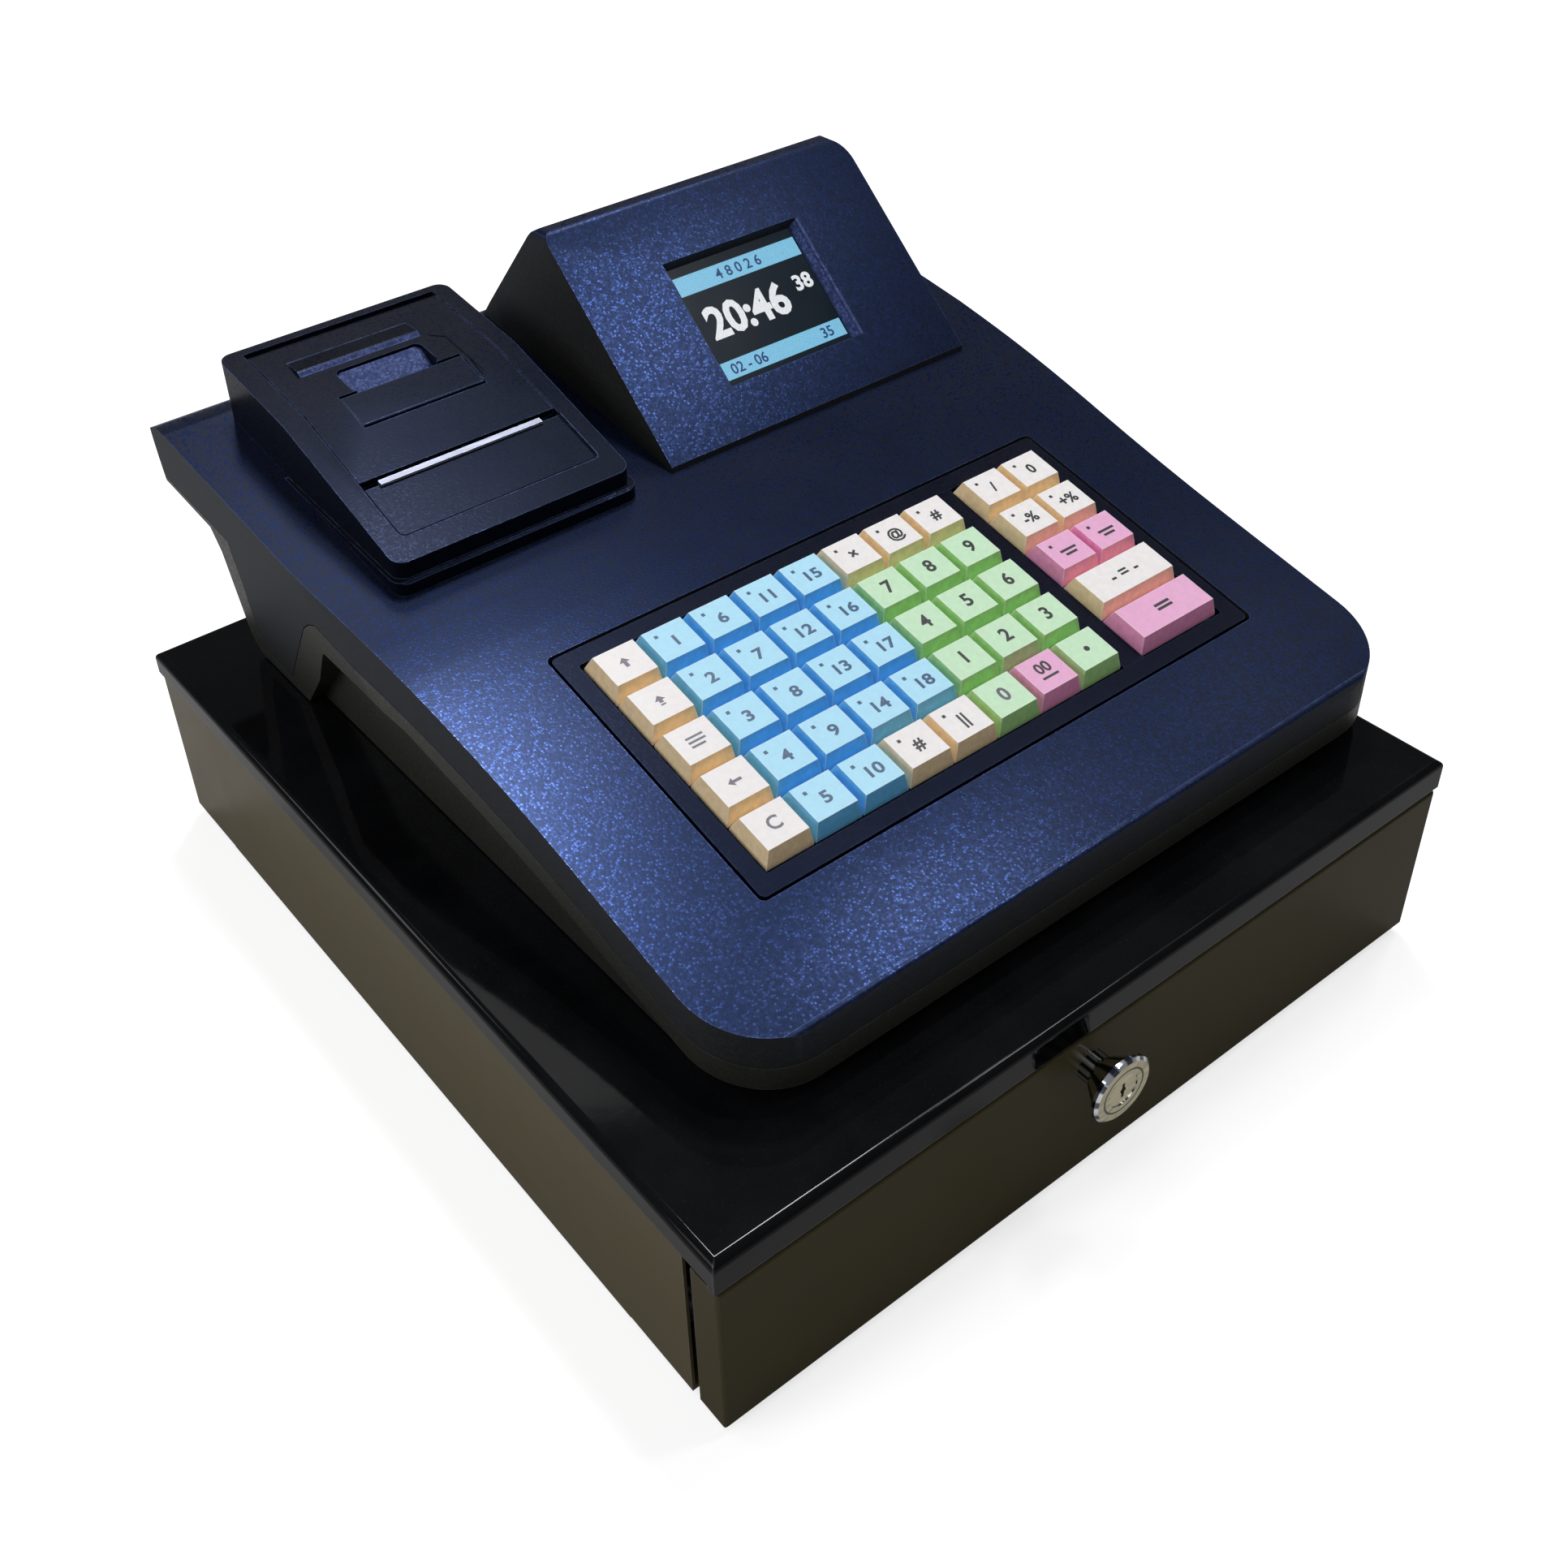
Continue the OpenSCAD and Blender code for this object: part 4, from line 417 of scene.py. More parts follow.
def fluted_chrome(name):
    """Plating of the lock: bright and dark bands round its flutes, which are painted reflections, and a
    brushed pale face with a ring.
    """
    flute_count = 12.0
    ring_radius = 0.0083
    material, n, shader = start(name)
    marks = effect(n, BRUSH, Fineness=1.2)
    place = n.axes(n.place())
    across = n.math("SUBTRACT", place["X"], LOCK.x * MM)
    up = n.math("SUBTRACT", place["Z"], LOCK.z * MM)
    angle = n.math("ARCTAN2", up, across)
    radius = n.math("SQRT", n.math("ADD", n.math("MULTIPLY", across, across), n.math("MULTIPLY", up, up)))
    # painted reflection: the flutes' bright and dark bands stand in for the surroundings mirrored in the
    # chrome
    flutes = n.ramp(n.math("SINE", n.math("MULTIPLY", angle, flute_count)), -0.6, 0.1)
    side = n.mix(flutes, rgb(60, 70, 98), rgb(240, 245, 253))
    front = n.ramp(n.normal_axes()["Y"], -0.75, -0.95)
    ring = n.ramp(n.math("ABSOLUTE", n.math("SUBTRACT", radius, ring_radius)), 0.0002, 0.0005)
    face = n.mix(marks["Streak"], rgb(168, 160, 130), rgb(206, 199, 170))
    face = n.mix(ring, rgb(74, 70, 58), face)
    n.join(n.mix(front, side, face), shader["Base Color"])
    n.join(n.ramp(front, 0.0, 1.0, 0.12, 0.32), shader["Roughness"])
    shader["Metallic"].default_value = 1.0
    bump(n, shader, flutes, 0.0002, 0.4)
    return material


def rubber(name):
    """Black rubber, dull and dusty."""
    material, n, shader = start(name)
    grain = effect(n, GRAIN, Pebbles=1500.0)
    dusty = effect(n, DUST, Amount=0.4)
    colour = n.mix(grain["Mottle"], rgb(20, 20, 21), rgb(33, 33, 34))
    n.join(n.mix(dusty["Mask"], colour, rgb(95, 94, 92)), shader["Base Color"])
    n.join(n.ramp(grain["Mottle"], 0.0, 1.0, 0.78, 0.66), shader["Roughness"])
    bump(n, shader, grain["Height"], 0.00006)
    return material


def key_plastic(name, top, side):
    """Clear cap over a coloured body: pale label on top, deeper colour down the slanted sides, lightened
    there with painted light as if glowing through the cap.
    """
    material, n, shader = start(name)
    dot = n.add("ShaderNodeVectorMath", operation="DOT_PRODUCT")
    n.join(n.add("ShaderNodeTexCoord").outputs["Normal"], dot.inputs[0])
    dot.inputs[1].default_value = (0, -math.sin(DECK_SLOPE), math.cos(DECK_SLOPE))
    facing = n.ramp(dot.outputs["Value"], 0.9, 0.99)
    cloud = n.noise(n.place(), 420.0, 3.0, 0.6)
    label = n.mix(n.ramp(cloud, 0.35, 0.7), top, shaded(top, 0.93))
    body = n.mix(n.ramp(cloud, 0.3, 0.7), side, shaded(side, 0.82))
    wear_and_highlight = effect(n, WEAR_AND_HIGHLIGHT, Width=0.0005, Amount=0.8)
    colour = n.mix(facing, body, label)
    # painted highlight: the caps' edges turn near white as glints
    n.join(n.mix(wear_and_highlight["Mask"], colour, rgb(250, 250, 250)), shader["Base Color"])
    n.join(n.ramp(cloud, 0.3, 0.7, 0.2, 0.28), shader["Roughness"])
    shader["Specular IOR Level"].default_value = 0.2
    shader["Coat Weight"].default_value = 0.15
    shader["Coat Roughness"].default_value = 0.2
    shader["Subsurface Weight"].default_value = 0.12
    shader["Subsurface Scale"].default_value = 0.002
    bump(n, shader, n.noise(n.place(), 900.0, 2.0), 0.00002, 0.5)
    return material


def ink(name, colour):
    """Printed legend: slightly uneven ink."""
    material, n, shader = start(name)
    cloud = n.noise(n.place(), 1600.0, 2.0)
    faded = tuple(min(1.0, c * 1.8 + 0.02) for c in colour[:3]) + (1.0,)
    n.join(n.mix(n.ramp(cloud, 0.45, 0.75), colour, faded), shader["Base Color"])
    n.join(n.ramp(cloud, 0.3, 0.7, 0.32, 0.42), shader["Roughness"])
    shader["Coat Weight"].default_value = 0.6
    return material


def glowing(name, colour, strength):
    """Lit part of the screen, with the faint unevenness of its dots."""
    material, n, shader = start(name)
    dots = n.noise(n.place(), 2600.0, 1.0)
    n.join(n.mix(n.ramp(dots, 0.35, 0.65), shaded(colour, 0.8), colour), shader["Emission Color"])
    shader["Base Color"].default_value = (0.01, 0.012, 0.014, 1)
    shader["Emission Strength"].default_value = strength
    shader["Specular IOR Level"].default_value = 0.1
    n.join(n.ramp(dots, 0.3, 0.7, 0.2, 0.28), shader["Roughness"])
    return material


def screen_glass(name):
    """Dark face of the screen: black with a weak blue glow of its backlight."""
    material, n, shader = start(name)
    cloud = n.noise(n.place(), 60.0, 3.0)
    n.join(n.mix(cloud, rgb(3, 5, 8), rgb(7, 11, 16)), shader["Base Color"])
    n.join(n.mix(cloud, rgb(8, 20, 32), rgb(16, 36, 50)), shader["Emission Color"])
    shader["Emission Strength"].default_value = 0.6
    shader["Specular IOR Level"].default_value = 0.05
    n.join(n.ramp(cloud, 0.3, 0.7, 0.2, 0.26), shader["Roughness"])
    return material


def board(name):
    """Circuit board: green mask with copper traces showing through."""
    material, n, shader = start(name)
    lines = n.add("ShaderNodeTexBrick")
    n.join(n.place(), lines.inputs["Vector"])
    lines.inputs["Scale"].default_value = 260
    cloud = n.noise(n.place(), 90.0, 3.0)
    green = n.mix(cloud, rgb(22, 78, 48), rgb(34, 104, 62))
    n.join(n.mix(lines.outputs["Fac"], green, rgb(58, 128, 74)), shader["Base Color"])
    n.join(n.ramp(cloud, 0.3, 0.7, 0.3, 0.42), shader["Roughness"])
    bump(n, shader, lines.outputs["Fac"], 0.00003)
    return material


def paper(name):
    """Thermal paper: smooth, nearly white."""
    material, n, shader = start(name)
    cloud = n.noise(n.place(), 300.0, 4.0)
    n.join(n.mix(cloud, rgb(236, 236, 232), rgb(250, 250, 248)), shader["Base Color"])
    n.join(n.ramp(cloud, 0.3, 0.7, 0.5, 0.62), shader["Roughness"])
    bump(n, shader, n.noise(n.place(), 2400.0, 2.0), 0.00002)
    return material


# plain plastics: grain's valleys and tops, worn edges, roughness, pebbles in a metre, depth in metres
PLAIN_PLASTICS = {
    "roller_plastic": (rgb(200, 198, 190), rgb(226, 224, 216), rgb(240, 240, 236), 0.45, 1600, 0.00002),
    "tray_plastic": (rgb(24, 24, 27), rgb(42, 42, 46), rgb(90, 90, 94), 0.5, 1200, 0.00005),
    "clip_plastic": (rgb(34, 34, 38), rgb(52, 52, 58), rgb(100, 100, 104), 0.45, 1200, 0.00003),
    "skirt_plastic": (rgb(27, 28, 24), rgb(41, 42, 37), rgb(74, 75, 74), 0.42, 1100, 0.00005),
    "socket_plastic": (rgb(20, 20, 22), rgb(34, 34, 36), rgb(80, 80, 84), 0.4, 1400, 0.00003),
    "plate_plastic": (rgb(26, 28, 34), rgb(40, 42, 50), rgb(90, 92, 98), 0.5, 1100, 0.00004),
    "gear_plastic": (rgb(214, 206, 182), rgb(236, 230, 208), rgb(246, 242, 230), 0.4, 1600, 0.00001),
}

# metals: dark and light marks, roughness, fineness of the marks
METALS = {
    "zinc_steel": (rgb(150, 152, 154), rgb(190, 192, 194), 0.34, 1.0),
    "lock_plug": (rgb(176, 168, 138), rgb(214, 206, 176), 0.3, 1.2),
    "thermal_head": (rgb(176, 178, 182), rgb(206, 208, 212), 0.3, 1.0),
    "motor_can": (rgb(96, 98, 102), rgb(134, 136, 140), 0.35, 1.0),
    "tear_bar": (rgb(128, 132, 150), rgb(158, 162, 180), 0.42, 2.0),
    "brass": (rgb(176, 138, 62), rgb(214, 176, 92), 0.25, 1.0),
}

# keys: label on top, body down the sides; the body colours are lightened as painted light, a glow through
# the clear caps
KEY_COLOURS = {
    "key_cream": (rgb(238, 234, 234), rgb(250, 224, 182)),
    "key_green": (rgb(200, 232, 200), rgb(176, 226, 150)),
    "key_blue": (rgb(178, 226, 248), rgb(112, 196, 250)),
    "key_pink": (rgb(232, 176, 212), rgb(246, 160, 206)),
}


def navy(name, dark, light, worn_and_lit_edge, rough, depth=0.00001, **values):
    """Navy plastic of the head: its gloss is navy too."""
    return moulded(name, dark, light, worn_and_lit_edge, rough, 1150, depth, dust=0.05,
                   tint=(0.07, 0.15, 0.48, 1.0), **values)


def make_finishes():
    """Every finish by name; the names are also those of the frame's material slots."""
    made = {name: moulded(name, *values) for name, values in PLAIN_PLASTICS.items()}
    made.update({name: bare_metal(name, *values) for name, values in METALS.items()})
    made.update({name: key_plastic(name, *values) for name, values in KEY_COLOURS.items()})
    made.update({name: maker(name) for name, maker in (
        ("rubber", rubber), ("platen_rubber", rubber), ("screen", screen_glass),
        ("circuit_board", board), ("paper", paper), ("lock_chrome", fluted_chrome))})
    made["chrome"] = bare_metal("chrome", rgb(206, 209, 214), rgb(232, 234, 238), 0.07, 1.6, depth=0.000001)
    made["black_steel"] = enamel("black_steel", rgb(5, 6, 8), rgb(10, 11, 13), 0.06, level=0.1, spread=0.02)
    # painted reflection: the sides' olive-brown stands in for a brown surface mirrored at a grazing angle
    made["side_steel_painted_reflection"] = enamel("side_steel_painted_reflection", rgb(64, 54, 22), rgb(77, 66, 32), 0.3, level=0.15)
    # painted shade: a darker copy of the sides' finish for the cabinet's front
    made["front_steel_painted_shade"] = enamel("front_steel_painted_shade", rgb(55, 49, 28), rgb(66, 59, 37), 0.35, level=0.05)
    # the third colour of each navy finish is a painted highlight along its edges
    made["deck_plastic"] = navy(
        "deck_plastic", rgb(8, 10, 17), rgb(34, 48, 86), rgb(78, 92, 134), 0.24,
        level=0.6, spread=0.03, edge=0.8, flake=1.0, upright=rgb(33, 32, 25))
    # painted shade: a darker copy of the navy for the keyboard frame
    made["frame_plastic_painted_shade"] = navy(
        "frame_plastic_painted_shade", rgb(8, 9, 15), rgb(16, 20, 36), rgb(66, 78, 116), 0.3,
        level=0.2, spread=0.04, flake=0.6)
    made["printer_plastic"] = navy(
        "printer_plastic", rgb(6, 8, 12), rgb(18, 23, 38), rgb(74, 88, 128), 0.28,
        level=0.19, spread=0.04, edge=0.9, flake=0.6)
    # painted light: a lighter copy of the navy for faces drawn as lit
    made["navy_painted_light"] = navy(
        "navy_painted_light", rgb(44, 52, 88), rgb(84, 96, 146), rgb(120, 134, 186), 0.4, depth=0.00002)
    # painted shade: near-black strips for the shade inside grooves
    made["groove_painted_shade"] = navy(
        "groove_painted_shade", rgb(3, 3, 4), rgb(8, 8, 10), rgb(20, 20, 22), 0.6, level=0.1)
    return made


finishes = make_finishes()

# width in millimetres of the rounding on the edges of each outer piece, and of the keys
SOFTENED = {"upper_shell": 0.7, "lower_shell": 0.4, "display_hood": 0.6, "printer_housing": 0.5,
            "printer_hatch": 0.3, "hatch_latch": 0.3, "keyboard_frame": 0.35, "drawer_front": 0.2,
            "drawer_cover": 0.3}
KEY_ROUNDING = 0.45

# nodes that differ from the finish of their material slot, such as the cabinet's duller sides, whose warm
# olive-brown is a painted reflection, and its front, darker still as painted shade
OWN_FINISH = {"lock_barrel": "lock_chrome", "drawer_shell": "side_steel_painted_reflection", "drawer_front": "front_steel_painted_shade",
              "keyboard_frame": "frame_plastic_painted_shade", "printer_hatch": "printer_plastic",
              "hatch_latch": "printer_plastic"}


def round_edges(node, width):
    """Joins the mesh's split corners, then rounds its sharp edges a little."""
    weld = node.modifiers.new("weld", "WELD")
    weld.merge_threshold = 0.00001
    bevel = node.modifiers.new("rounding", "BEVEL")
    bevel.width = width * MM
    bevel.segments = 2
    bevel.limit_method = "ANGLE"
    bevel.angle_limit = math.radians(28)
    even = node.modifiers.new("even", "WEIGHTED_NORMAL")
    even.weight = 100


def dress_nodes():
    """Gives every CAD node its finish, and the visible ones a fine rounding of their edges."""
    for part in frame["record"]["subparts"]:
        node = nodes[part["node"]]
        finish = finishes[OWN_FINISH.get(part["node"], part["material_slot"])]
        if node.material_slots:
            for slot in node.material_slots:
                slot.material = finish
        else:
            node.data.materials.append(finish)
        is_key = part["material_slot"].startswith("key_")
        soften = KEY_ROUNDING if is_key else SOFTENED.get(part["node"])
        if soften:
            round_edges(node, soften)


# ---------------------------------------------------------------- mesh helpers
def new_piece(name, mesh, body, material):
    """A visible piece that moves with a body and wears the given material."""
    piece = bpy.data.objects.new(name, mesh)
    bpy.context.scene.collection.objects.link(piece)
    mesh.materials.clear()
    mesh.materials.append(material)
    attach(piece, body)
    return piece


def closed_mesh(name, work):
    """Mesh of a closed bmesh with its faces turned outwards; the bmesh is used up."""
    bmesh.ops.recalc_face_normals(work, faces=work.faces)
    mesh = bpy.data.meshes.new(name)
    work.to_mesh(mesh)
    work.free()
    return mesh


def bridge(work, first, second):
    """Walls between two rings of corners."""
    for i in range(len(first)):
        j = (i + 1) % len(first)
        work.faces.new((first[i], first[j], second[j], second[i]))


def text_mesh(words, size, bold, squeeze):
    """Flat letters with a hair of thickness, centred on their own middle, in metres."""
    curve = bpy.data.curves.new("letters", "FONT")
    curve.body = words
    curve.size = size * MM
    curve.align_x = "CENTER"
    curve.align_y = "CENTER"
    curve.offset = bold * MM
    curve.extrude = 0.00002
    curve.resolution_u = 3
    holder = bpy.data.objects.new("letters", curve)
    bpy.context.scene.collection.objects.link(holder)
    graph = bpy.context.evaluated_depsgraph_get()
    mesh = bpy.data.meshes.new_from_object(holder.evaluated_get(graph))
    bpy.data.objects.remove(holder)
    mesh.transform(Matrix.Diagonal((squeeze, 1, 1, 1)))
    return mesh


class Stamp:
    """Collects flat marks on one plane, at one height, into one mesh. All sizes are in millimetres."""

    def __init__(self, plane, lift):
        self.plane = plane
        self.lift = lift
        self.work = bmesh.new()

    def letters(self, words, u, v, size, bold, squeeze=1.0):
        mesh = text_mesh(words, size, bold, squeeze)
        mesh.transform(self.plane @ Matrix.Translation(Vector((u, v, self.lift)) * MM))
        self.work.from_mesh(mesh)
        bpy.data.meshes.remove(mesh)

    def ring(self, points, u, v, w):
        return [self.work.verts.new(self.plane @ (Vector((u + p[0], v + p[1], w)) * MM)) for p in points]

    def shape(self, points, u, v, thick=0.04):
        """A flat polygon around (u, v) with a little thickness."""
        lower = self.ring(points, u, v, self.lift)
        upper = self.ring(points, u, v, self.lift + thick)
        self.work.faces.new(upper)
        self.work.faces.new(list(reversed(lower)))
        bridge(self.work, lower, upper)

    def bar(self, u, v, width, height, thick=0.04):
        a, b = width / 2, height / 2
        self.shape([(-a, -b), (a, -b), (a, b), (-a, b)], u, v, thick)

    def piece(self, name, body, slot, material):
        return new_piece(name, closed_mesh(name, self.work), body, material)


# ---------------------------------------------------------------- key legends
LEGEND_LIFT = KEY_HEIGHT + 0.02
DIGIT_SIZE = 7.6
NUMBER_SIZE = 6.2
MARK_SIZE = 6.4
LETTER_SIZE = 7.0

# digit of each single number key, with its column and row
NUMBER_KEYS = [
    ("key_0", "0", 5, 0), ("key_1", "1", 5, 1), ("key_2", "2", 6, 1), ("key_3", "3", 7, 1),
    ("key_4", "4", 5, 2), ("key_5", "5", 6, 2), ("key_6", "6", 7, 2),
    ("key_7", "7", 5, 3), ("key_8", "8", 6, 3), ("key_9", "9", 7, 3),
]
RIGHT_BLOCK = 8.5
FUNCTION_KEYS = [
    ("#", 3, 0), ("||", 4, 0), ("×", 5, 4), ("@", 6, 4), ("#", 7, 4),
    ("-%", RIGHT_BLOCK, 3), ("+%", RIGHT_BLOCK + 1, 3), ("/", RIGHT_BLOCK, 4), ("0", RIGHT_BLOCK + 1, 4),
]

ARROW_UP = [(-0.7, -2), (0.7, -2), (0.7, 0.2), (1.9, 0.2), (0, 2.2), (-1.9, 0.2), (-0.7, 0.2)]
SHORT_ARROW_UP = [(-0.7, -0.9), (0.7, -0.9), (0.7, 0.2), (1.9, 0.2), (0, 2.2), (-1.9, 0.2), (-0.7, 0.2)]
ARROW_STEP = [(-0.9, -2), (0.9, -2), (0.9, -1.4), (-0.9, -1.4)]
ARROW_LEFT = [(2.4, -0.5), (2.4, 0.5), (-0.6, 0.5), (-0.6, 1.6), (-2.6, 0), (-0.6, -1.6), (-0.6, -0.5)]


def key_spot(column, row, width=1):
    """Middle of a key that is width columns wide."""
    return (column + width / 2) * KEY_PITCH, (row + 0.5) * KEY_PITCH


def on_keys():
    """A stamp on the tops of the keys."""
    return Stamp(ON_KEYS, LEGEND_LIFT)


def corner_mark(stamp, u, v, side=1.3):
    """Small square at the upper left of a key's label."""
    stamp.bar(u - 4.3, v + 3.6, side, side)


def number_legends(black, grey):
    """The digits, the double nought and the point, each on a key of its own."""
    for body, digit, column, row in NUMBER_KEYS:
        u, v = key_spot(column, row)
        stamp = on_keys()
        stamp.letters(digit, u, v, DIGIT_SIZE, 0.2)
        stamp.piece("legend_" + digit, body, "key_green", grey if digit == "0" else black)
    u, v = key_spot(6, 0)
    double = on_keys()
    double.letters("00", u, v + 1.6, NUMBER_SIZE, 0.16)
    double.bar(u, v - 2.3, 7.0, 0.9)
    double.piece("legend_00", "key_00", "key_pink", black)
    u, v = key_spot(7, 0)
    point = on_keys()
    radius = 1.1
    sides = 16
    turns = [2 * math.pi * i / sides for i in range(sides)]
    point.shape([(radius * math.cos(a), radius * math.sin(a)) for a in turns], u, v)
    point.piece("legend_point", "key_point", "key_green", black)


def wide_legends(black):
    """The two double keys at the lower right."""
    u, v = key_spot(RIGHT_BLOCK, 1, 2)
    subtotal = on_keys()
    subtotal.letters("- = -", u, v, 7.5, 0.12)
    subtotal.piece("legend_subtotal", "key_subtotal", "key_cream", black)
    u, v = key_spot(RIGHT_BLOCK, 0, 2)
    total = on_keys()
    total.letters("=", u, v, 8.5, 0.2, 1.6)
    total.piece("legend_total", "key_total", "key_pink", black)


def department_legends(blue):
    """Counts down each column of the blue keys; the lowest row has only two of them."""
    stamp = on_keys()
    spots = [(column, row) for column in range(1, 5) for row in range(4, -1, -1) if row > 0 or column <= 2]
    for number, (column, row) in enumerate(spots, 1):
        u, v = key_spot(column, row)
        stamp.letters(str(number), u + 0.6, v - 0.9, NUMBER_SIZE, 0.18, 1.2)
        corner_mark(stamp, u, v)
    stamp.piece("legend_department", "keys_department", "key_blue", blue)


def side_legends(grey):
    """The first column, from its top: two arrows up, three lines, an arrow to the left, a letter."""
    stamp = on_keys()
    stamp.shape(ARROW_UP, *key_spot(0, 4))
    stamp.shape(ARROW_STEP, *key_spot(0, 3))
    stamp.shape(SHORT_ARROW_UP, *key_spot(0, 3))
    u, v = key_spot(0, 2)
    stamp.bar(u, v + 1.8, 6.4, 0.8)
    stamp.bar(u, v, 6.4, 0.8)
    stamp.bar(u - 0.6, v - 1.8, 5.2, 0.8)
    stamp.shape(ARROW_LEFT, *key_spot(0, 1))
    stamp.letters("C", *key_spot(0, 0), LETTER_SIZE, 0.14)
    stamp.piece("legend_side", "keys_side", "key_cream", grey)


def function_legends(black):
    """Signs on the other cream keys."""
    stamp = on_keys()
    for mark, column, row in FUNCTION_KEYS:
        u, v = key_spot(column, row)
        stamp.letters(mark, u + 0.4, v - 0.6, MARK_SIZE, 0.18)
        corner_mark(stamp, u, v, 1.2)
    stamp.piece("legend_function", "keys_function", "key_cream", black)


def payment_legends(black):
    """Two uneven lines on each of the small pink keys."""
    stamp = on_keys()
    for column in (RIGHT_BLOCK, RIGHT_BLOCK + 1):
        u, v = key_spot(column, 2)
        stamp.bar(u + 0.6, v - 0.2, 7.4, 1.0)
        stamp.bar(u + 0.6, v - 2.2, 5.2, 1.0)
        corner_mark(stamp, u, v)
    stamp.piece("legend_payment", "keys_payment", "key_pink", black)


def print_legends():
    """Plain digits and marks on the key tops, one piece for each body of keys."""
    black = ink("legend_black", rgb(22, 22, 26))
    grey = ink("legend_grey", rgb(84, 78, 94))
    number_legends(black, grey)
    wide_legends(black)
    department_legends(ink("legend_blue", rgb(38, 72, 108)))
    side_legends(grey)
    function_legends(black)
    payment_legends(black)


# ---------------------------------------------------------------- screen
SCREEN_LIFT = 0.03 - WINDOW_DEEP
PRINT_LIFT = SCREEN_LIFT + 0.06
TOP_BAR_H = 7.8
LOW_BAR_H = 7.2
SCREEN_PRINT_SIZE = 6.0


def light_screen():
    """What the screen shows: a clock between two plain bars with a few figures."""
    left = -WINDOW_W / 2 + 3.2
    right = WINDOW_W / 2 - 3.4
    low = WINDOW_UP + 3.4
    high = WINDOW_UP + WINDOW_H - 5.4
    centre = (left + right) / 2
    middle = (low + high) / 2
    bars = Stamp(ON_HOOD, SCREEN_LIFT)
    bars.bar(centre, high - TOP_BAR_H / 2, right - left, TOP_BAR_H, 0.05)
    bars.bar(centre, low + LOW_BAR_H / 2, right - left, LOW_BAR_H, 0.05)
    bars.piece("screen_bars", "register", "screen", glowing("screen_blue", rgb(128, 198, 232), 0.95))
    clock = Stamp(ON_HOOD, SCREEN_LIFT)
    clock.letters("20:46", centre - 6.0, middle, 18.0, 0.6, 0.96)
    clock.letters("38", right - 6.2, middle + 3.6, 8.8, 0.3)
    clock.piece("screen_clock", "register", "screen", glowing("screen_white", rgb(238, 242, 246), 0.95))
    figures = Stamp(ON_HOOD, PRINT_LIFT)
    figures.letters("02 - 06", left + 12, low + 3.4, SCREEN_PRINT_SIZE, 0.1)
    figures.letters("35", right - 8, low + 3.4, SCREEN_PRINT_SIZE, 0.1)
    figures.letters("4 8 0 2 6", centre, high - 4.1, SCREEN_PRINT_SIZE, 0.1)
    figures.piece("screen_figures", "register", "screen", glowing("screen_ink", rgb(24, 66, 128), 0.8))


# ---------------------------------------------------------------- small trim
def prism(plane, profile, ends, name, body, finish):
    """A solid of one outline in a plane's (v, w), run along its u between the two ends."""
    work = bmesh.new()
    rows = [[work.verts.new(plane @ (Vector((u, v, w)) * MM)) for v, w in profile] for u in ends]
    work.faces.new(rows[0])
    work.faces.new(list(reversed(rows[1])))
    bridge(work, rows[0], rows[1])
    return new_piece(name, closed_mesh(name, work), body, finishes[finish])


def window_bevel():
    """Slanted inner face at the window's right side, in two steps, coloured in the lighter navy as painted
    light.
    """
    outer = WINDOW_W / 2 - 0.05
    bottom = 0.02 - WINDOW_DEEP
    sideways = (ON_HOOD @ Matrix.Translation(Vector((0, WINDOW_UP + WINDOW_H / 2, 0)) * MM)
                @ Matrix.Rotation(math.radians(90), 4, "Z"))
    profile = [(-outer, -0.15), (0.7 - outer, -0.5), (0.9 - outer, -1.3), (2.4 - outer, -3.6),
               (2.6 - outer, bottom), (-outer, bottom)]
    half = WINDOW_H / 2 - 0.1
    prism(sideways, profile, (-half, half), "window_bevel", "register", "navy_painted_light")


def path_line(stamp, points, width):
    """A flat line of one width through the points, in the stamp's plane."""
    for a, b in zip(points, points[1:]):
        along = Vector((b[0] - a[0], b[1] - a[1]))
        across = Vector((-along.y, along.x)).normalized() * width / 2
        along = along.normalized() * width * 0.35
        corners = [Vector(a) - along - across, Vector(b) + along - across,
                   Vector(b) + along + across, Vector(a) - along + across]
        stamp.shape([(c.x, c.y) for c in corners], 0, 0, 0.03)


def bend(centre, radius, first, last, steps=6):
    """Points along an arc between two angles in degrees."""
    angles = [math.radians(first + (last - first) * i / steps) for i in range(steps + 1)]
    return [(centre[0] + radius * math.cos(a), centre[1] + radius * math.sin(a)) for a in angles]


def panel_outline(inset):
    """Line round the printer's front panel, open towards the paper slot."""
    left = PANEL_LEFT + inset
    right = PANEL_RIGHT - inset
    low = PANEL_LOW + inset
    radius = PANEL_CORNER
    return ([(left, PANEL_TOP)] + bend((left + radius, low + radius), radius, 180, 270)
            + bend((right - radius, low + radius), radius, 270, 360) + [(right, PANEL_TOP)])


def hatch_prism(profile, ends, name, finish):
    """A prism on the hatch, its outline given as (behind the finger pocket's back edge, height)."""
    placed = [(POCKET_BACK + behind, height) for behind, height in profile]
    prism(ON_HATCH, placed, ends, name, "printer_hatch", finish)


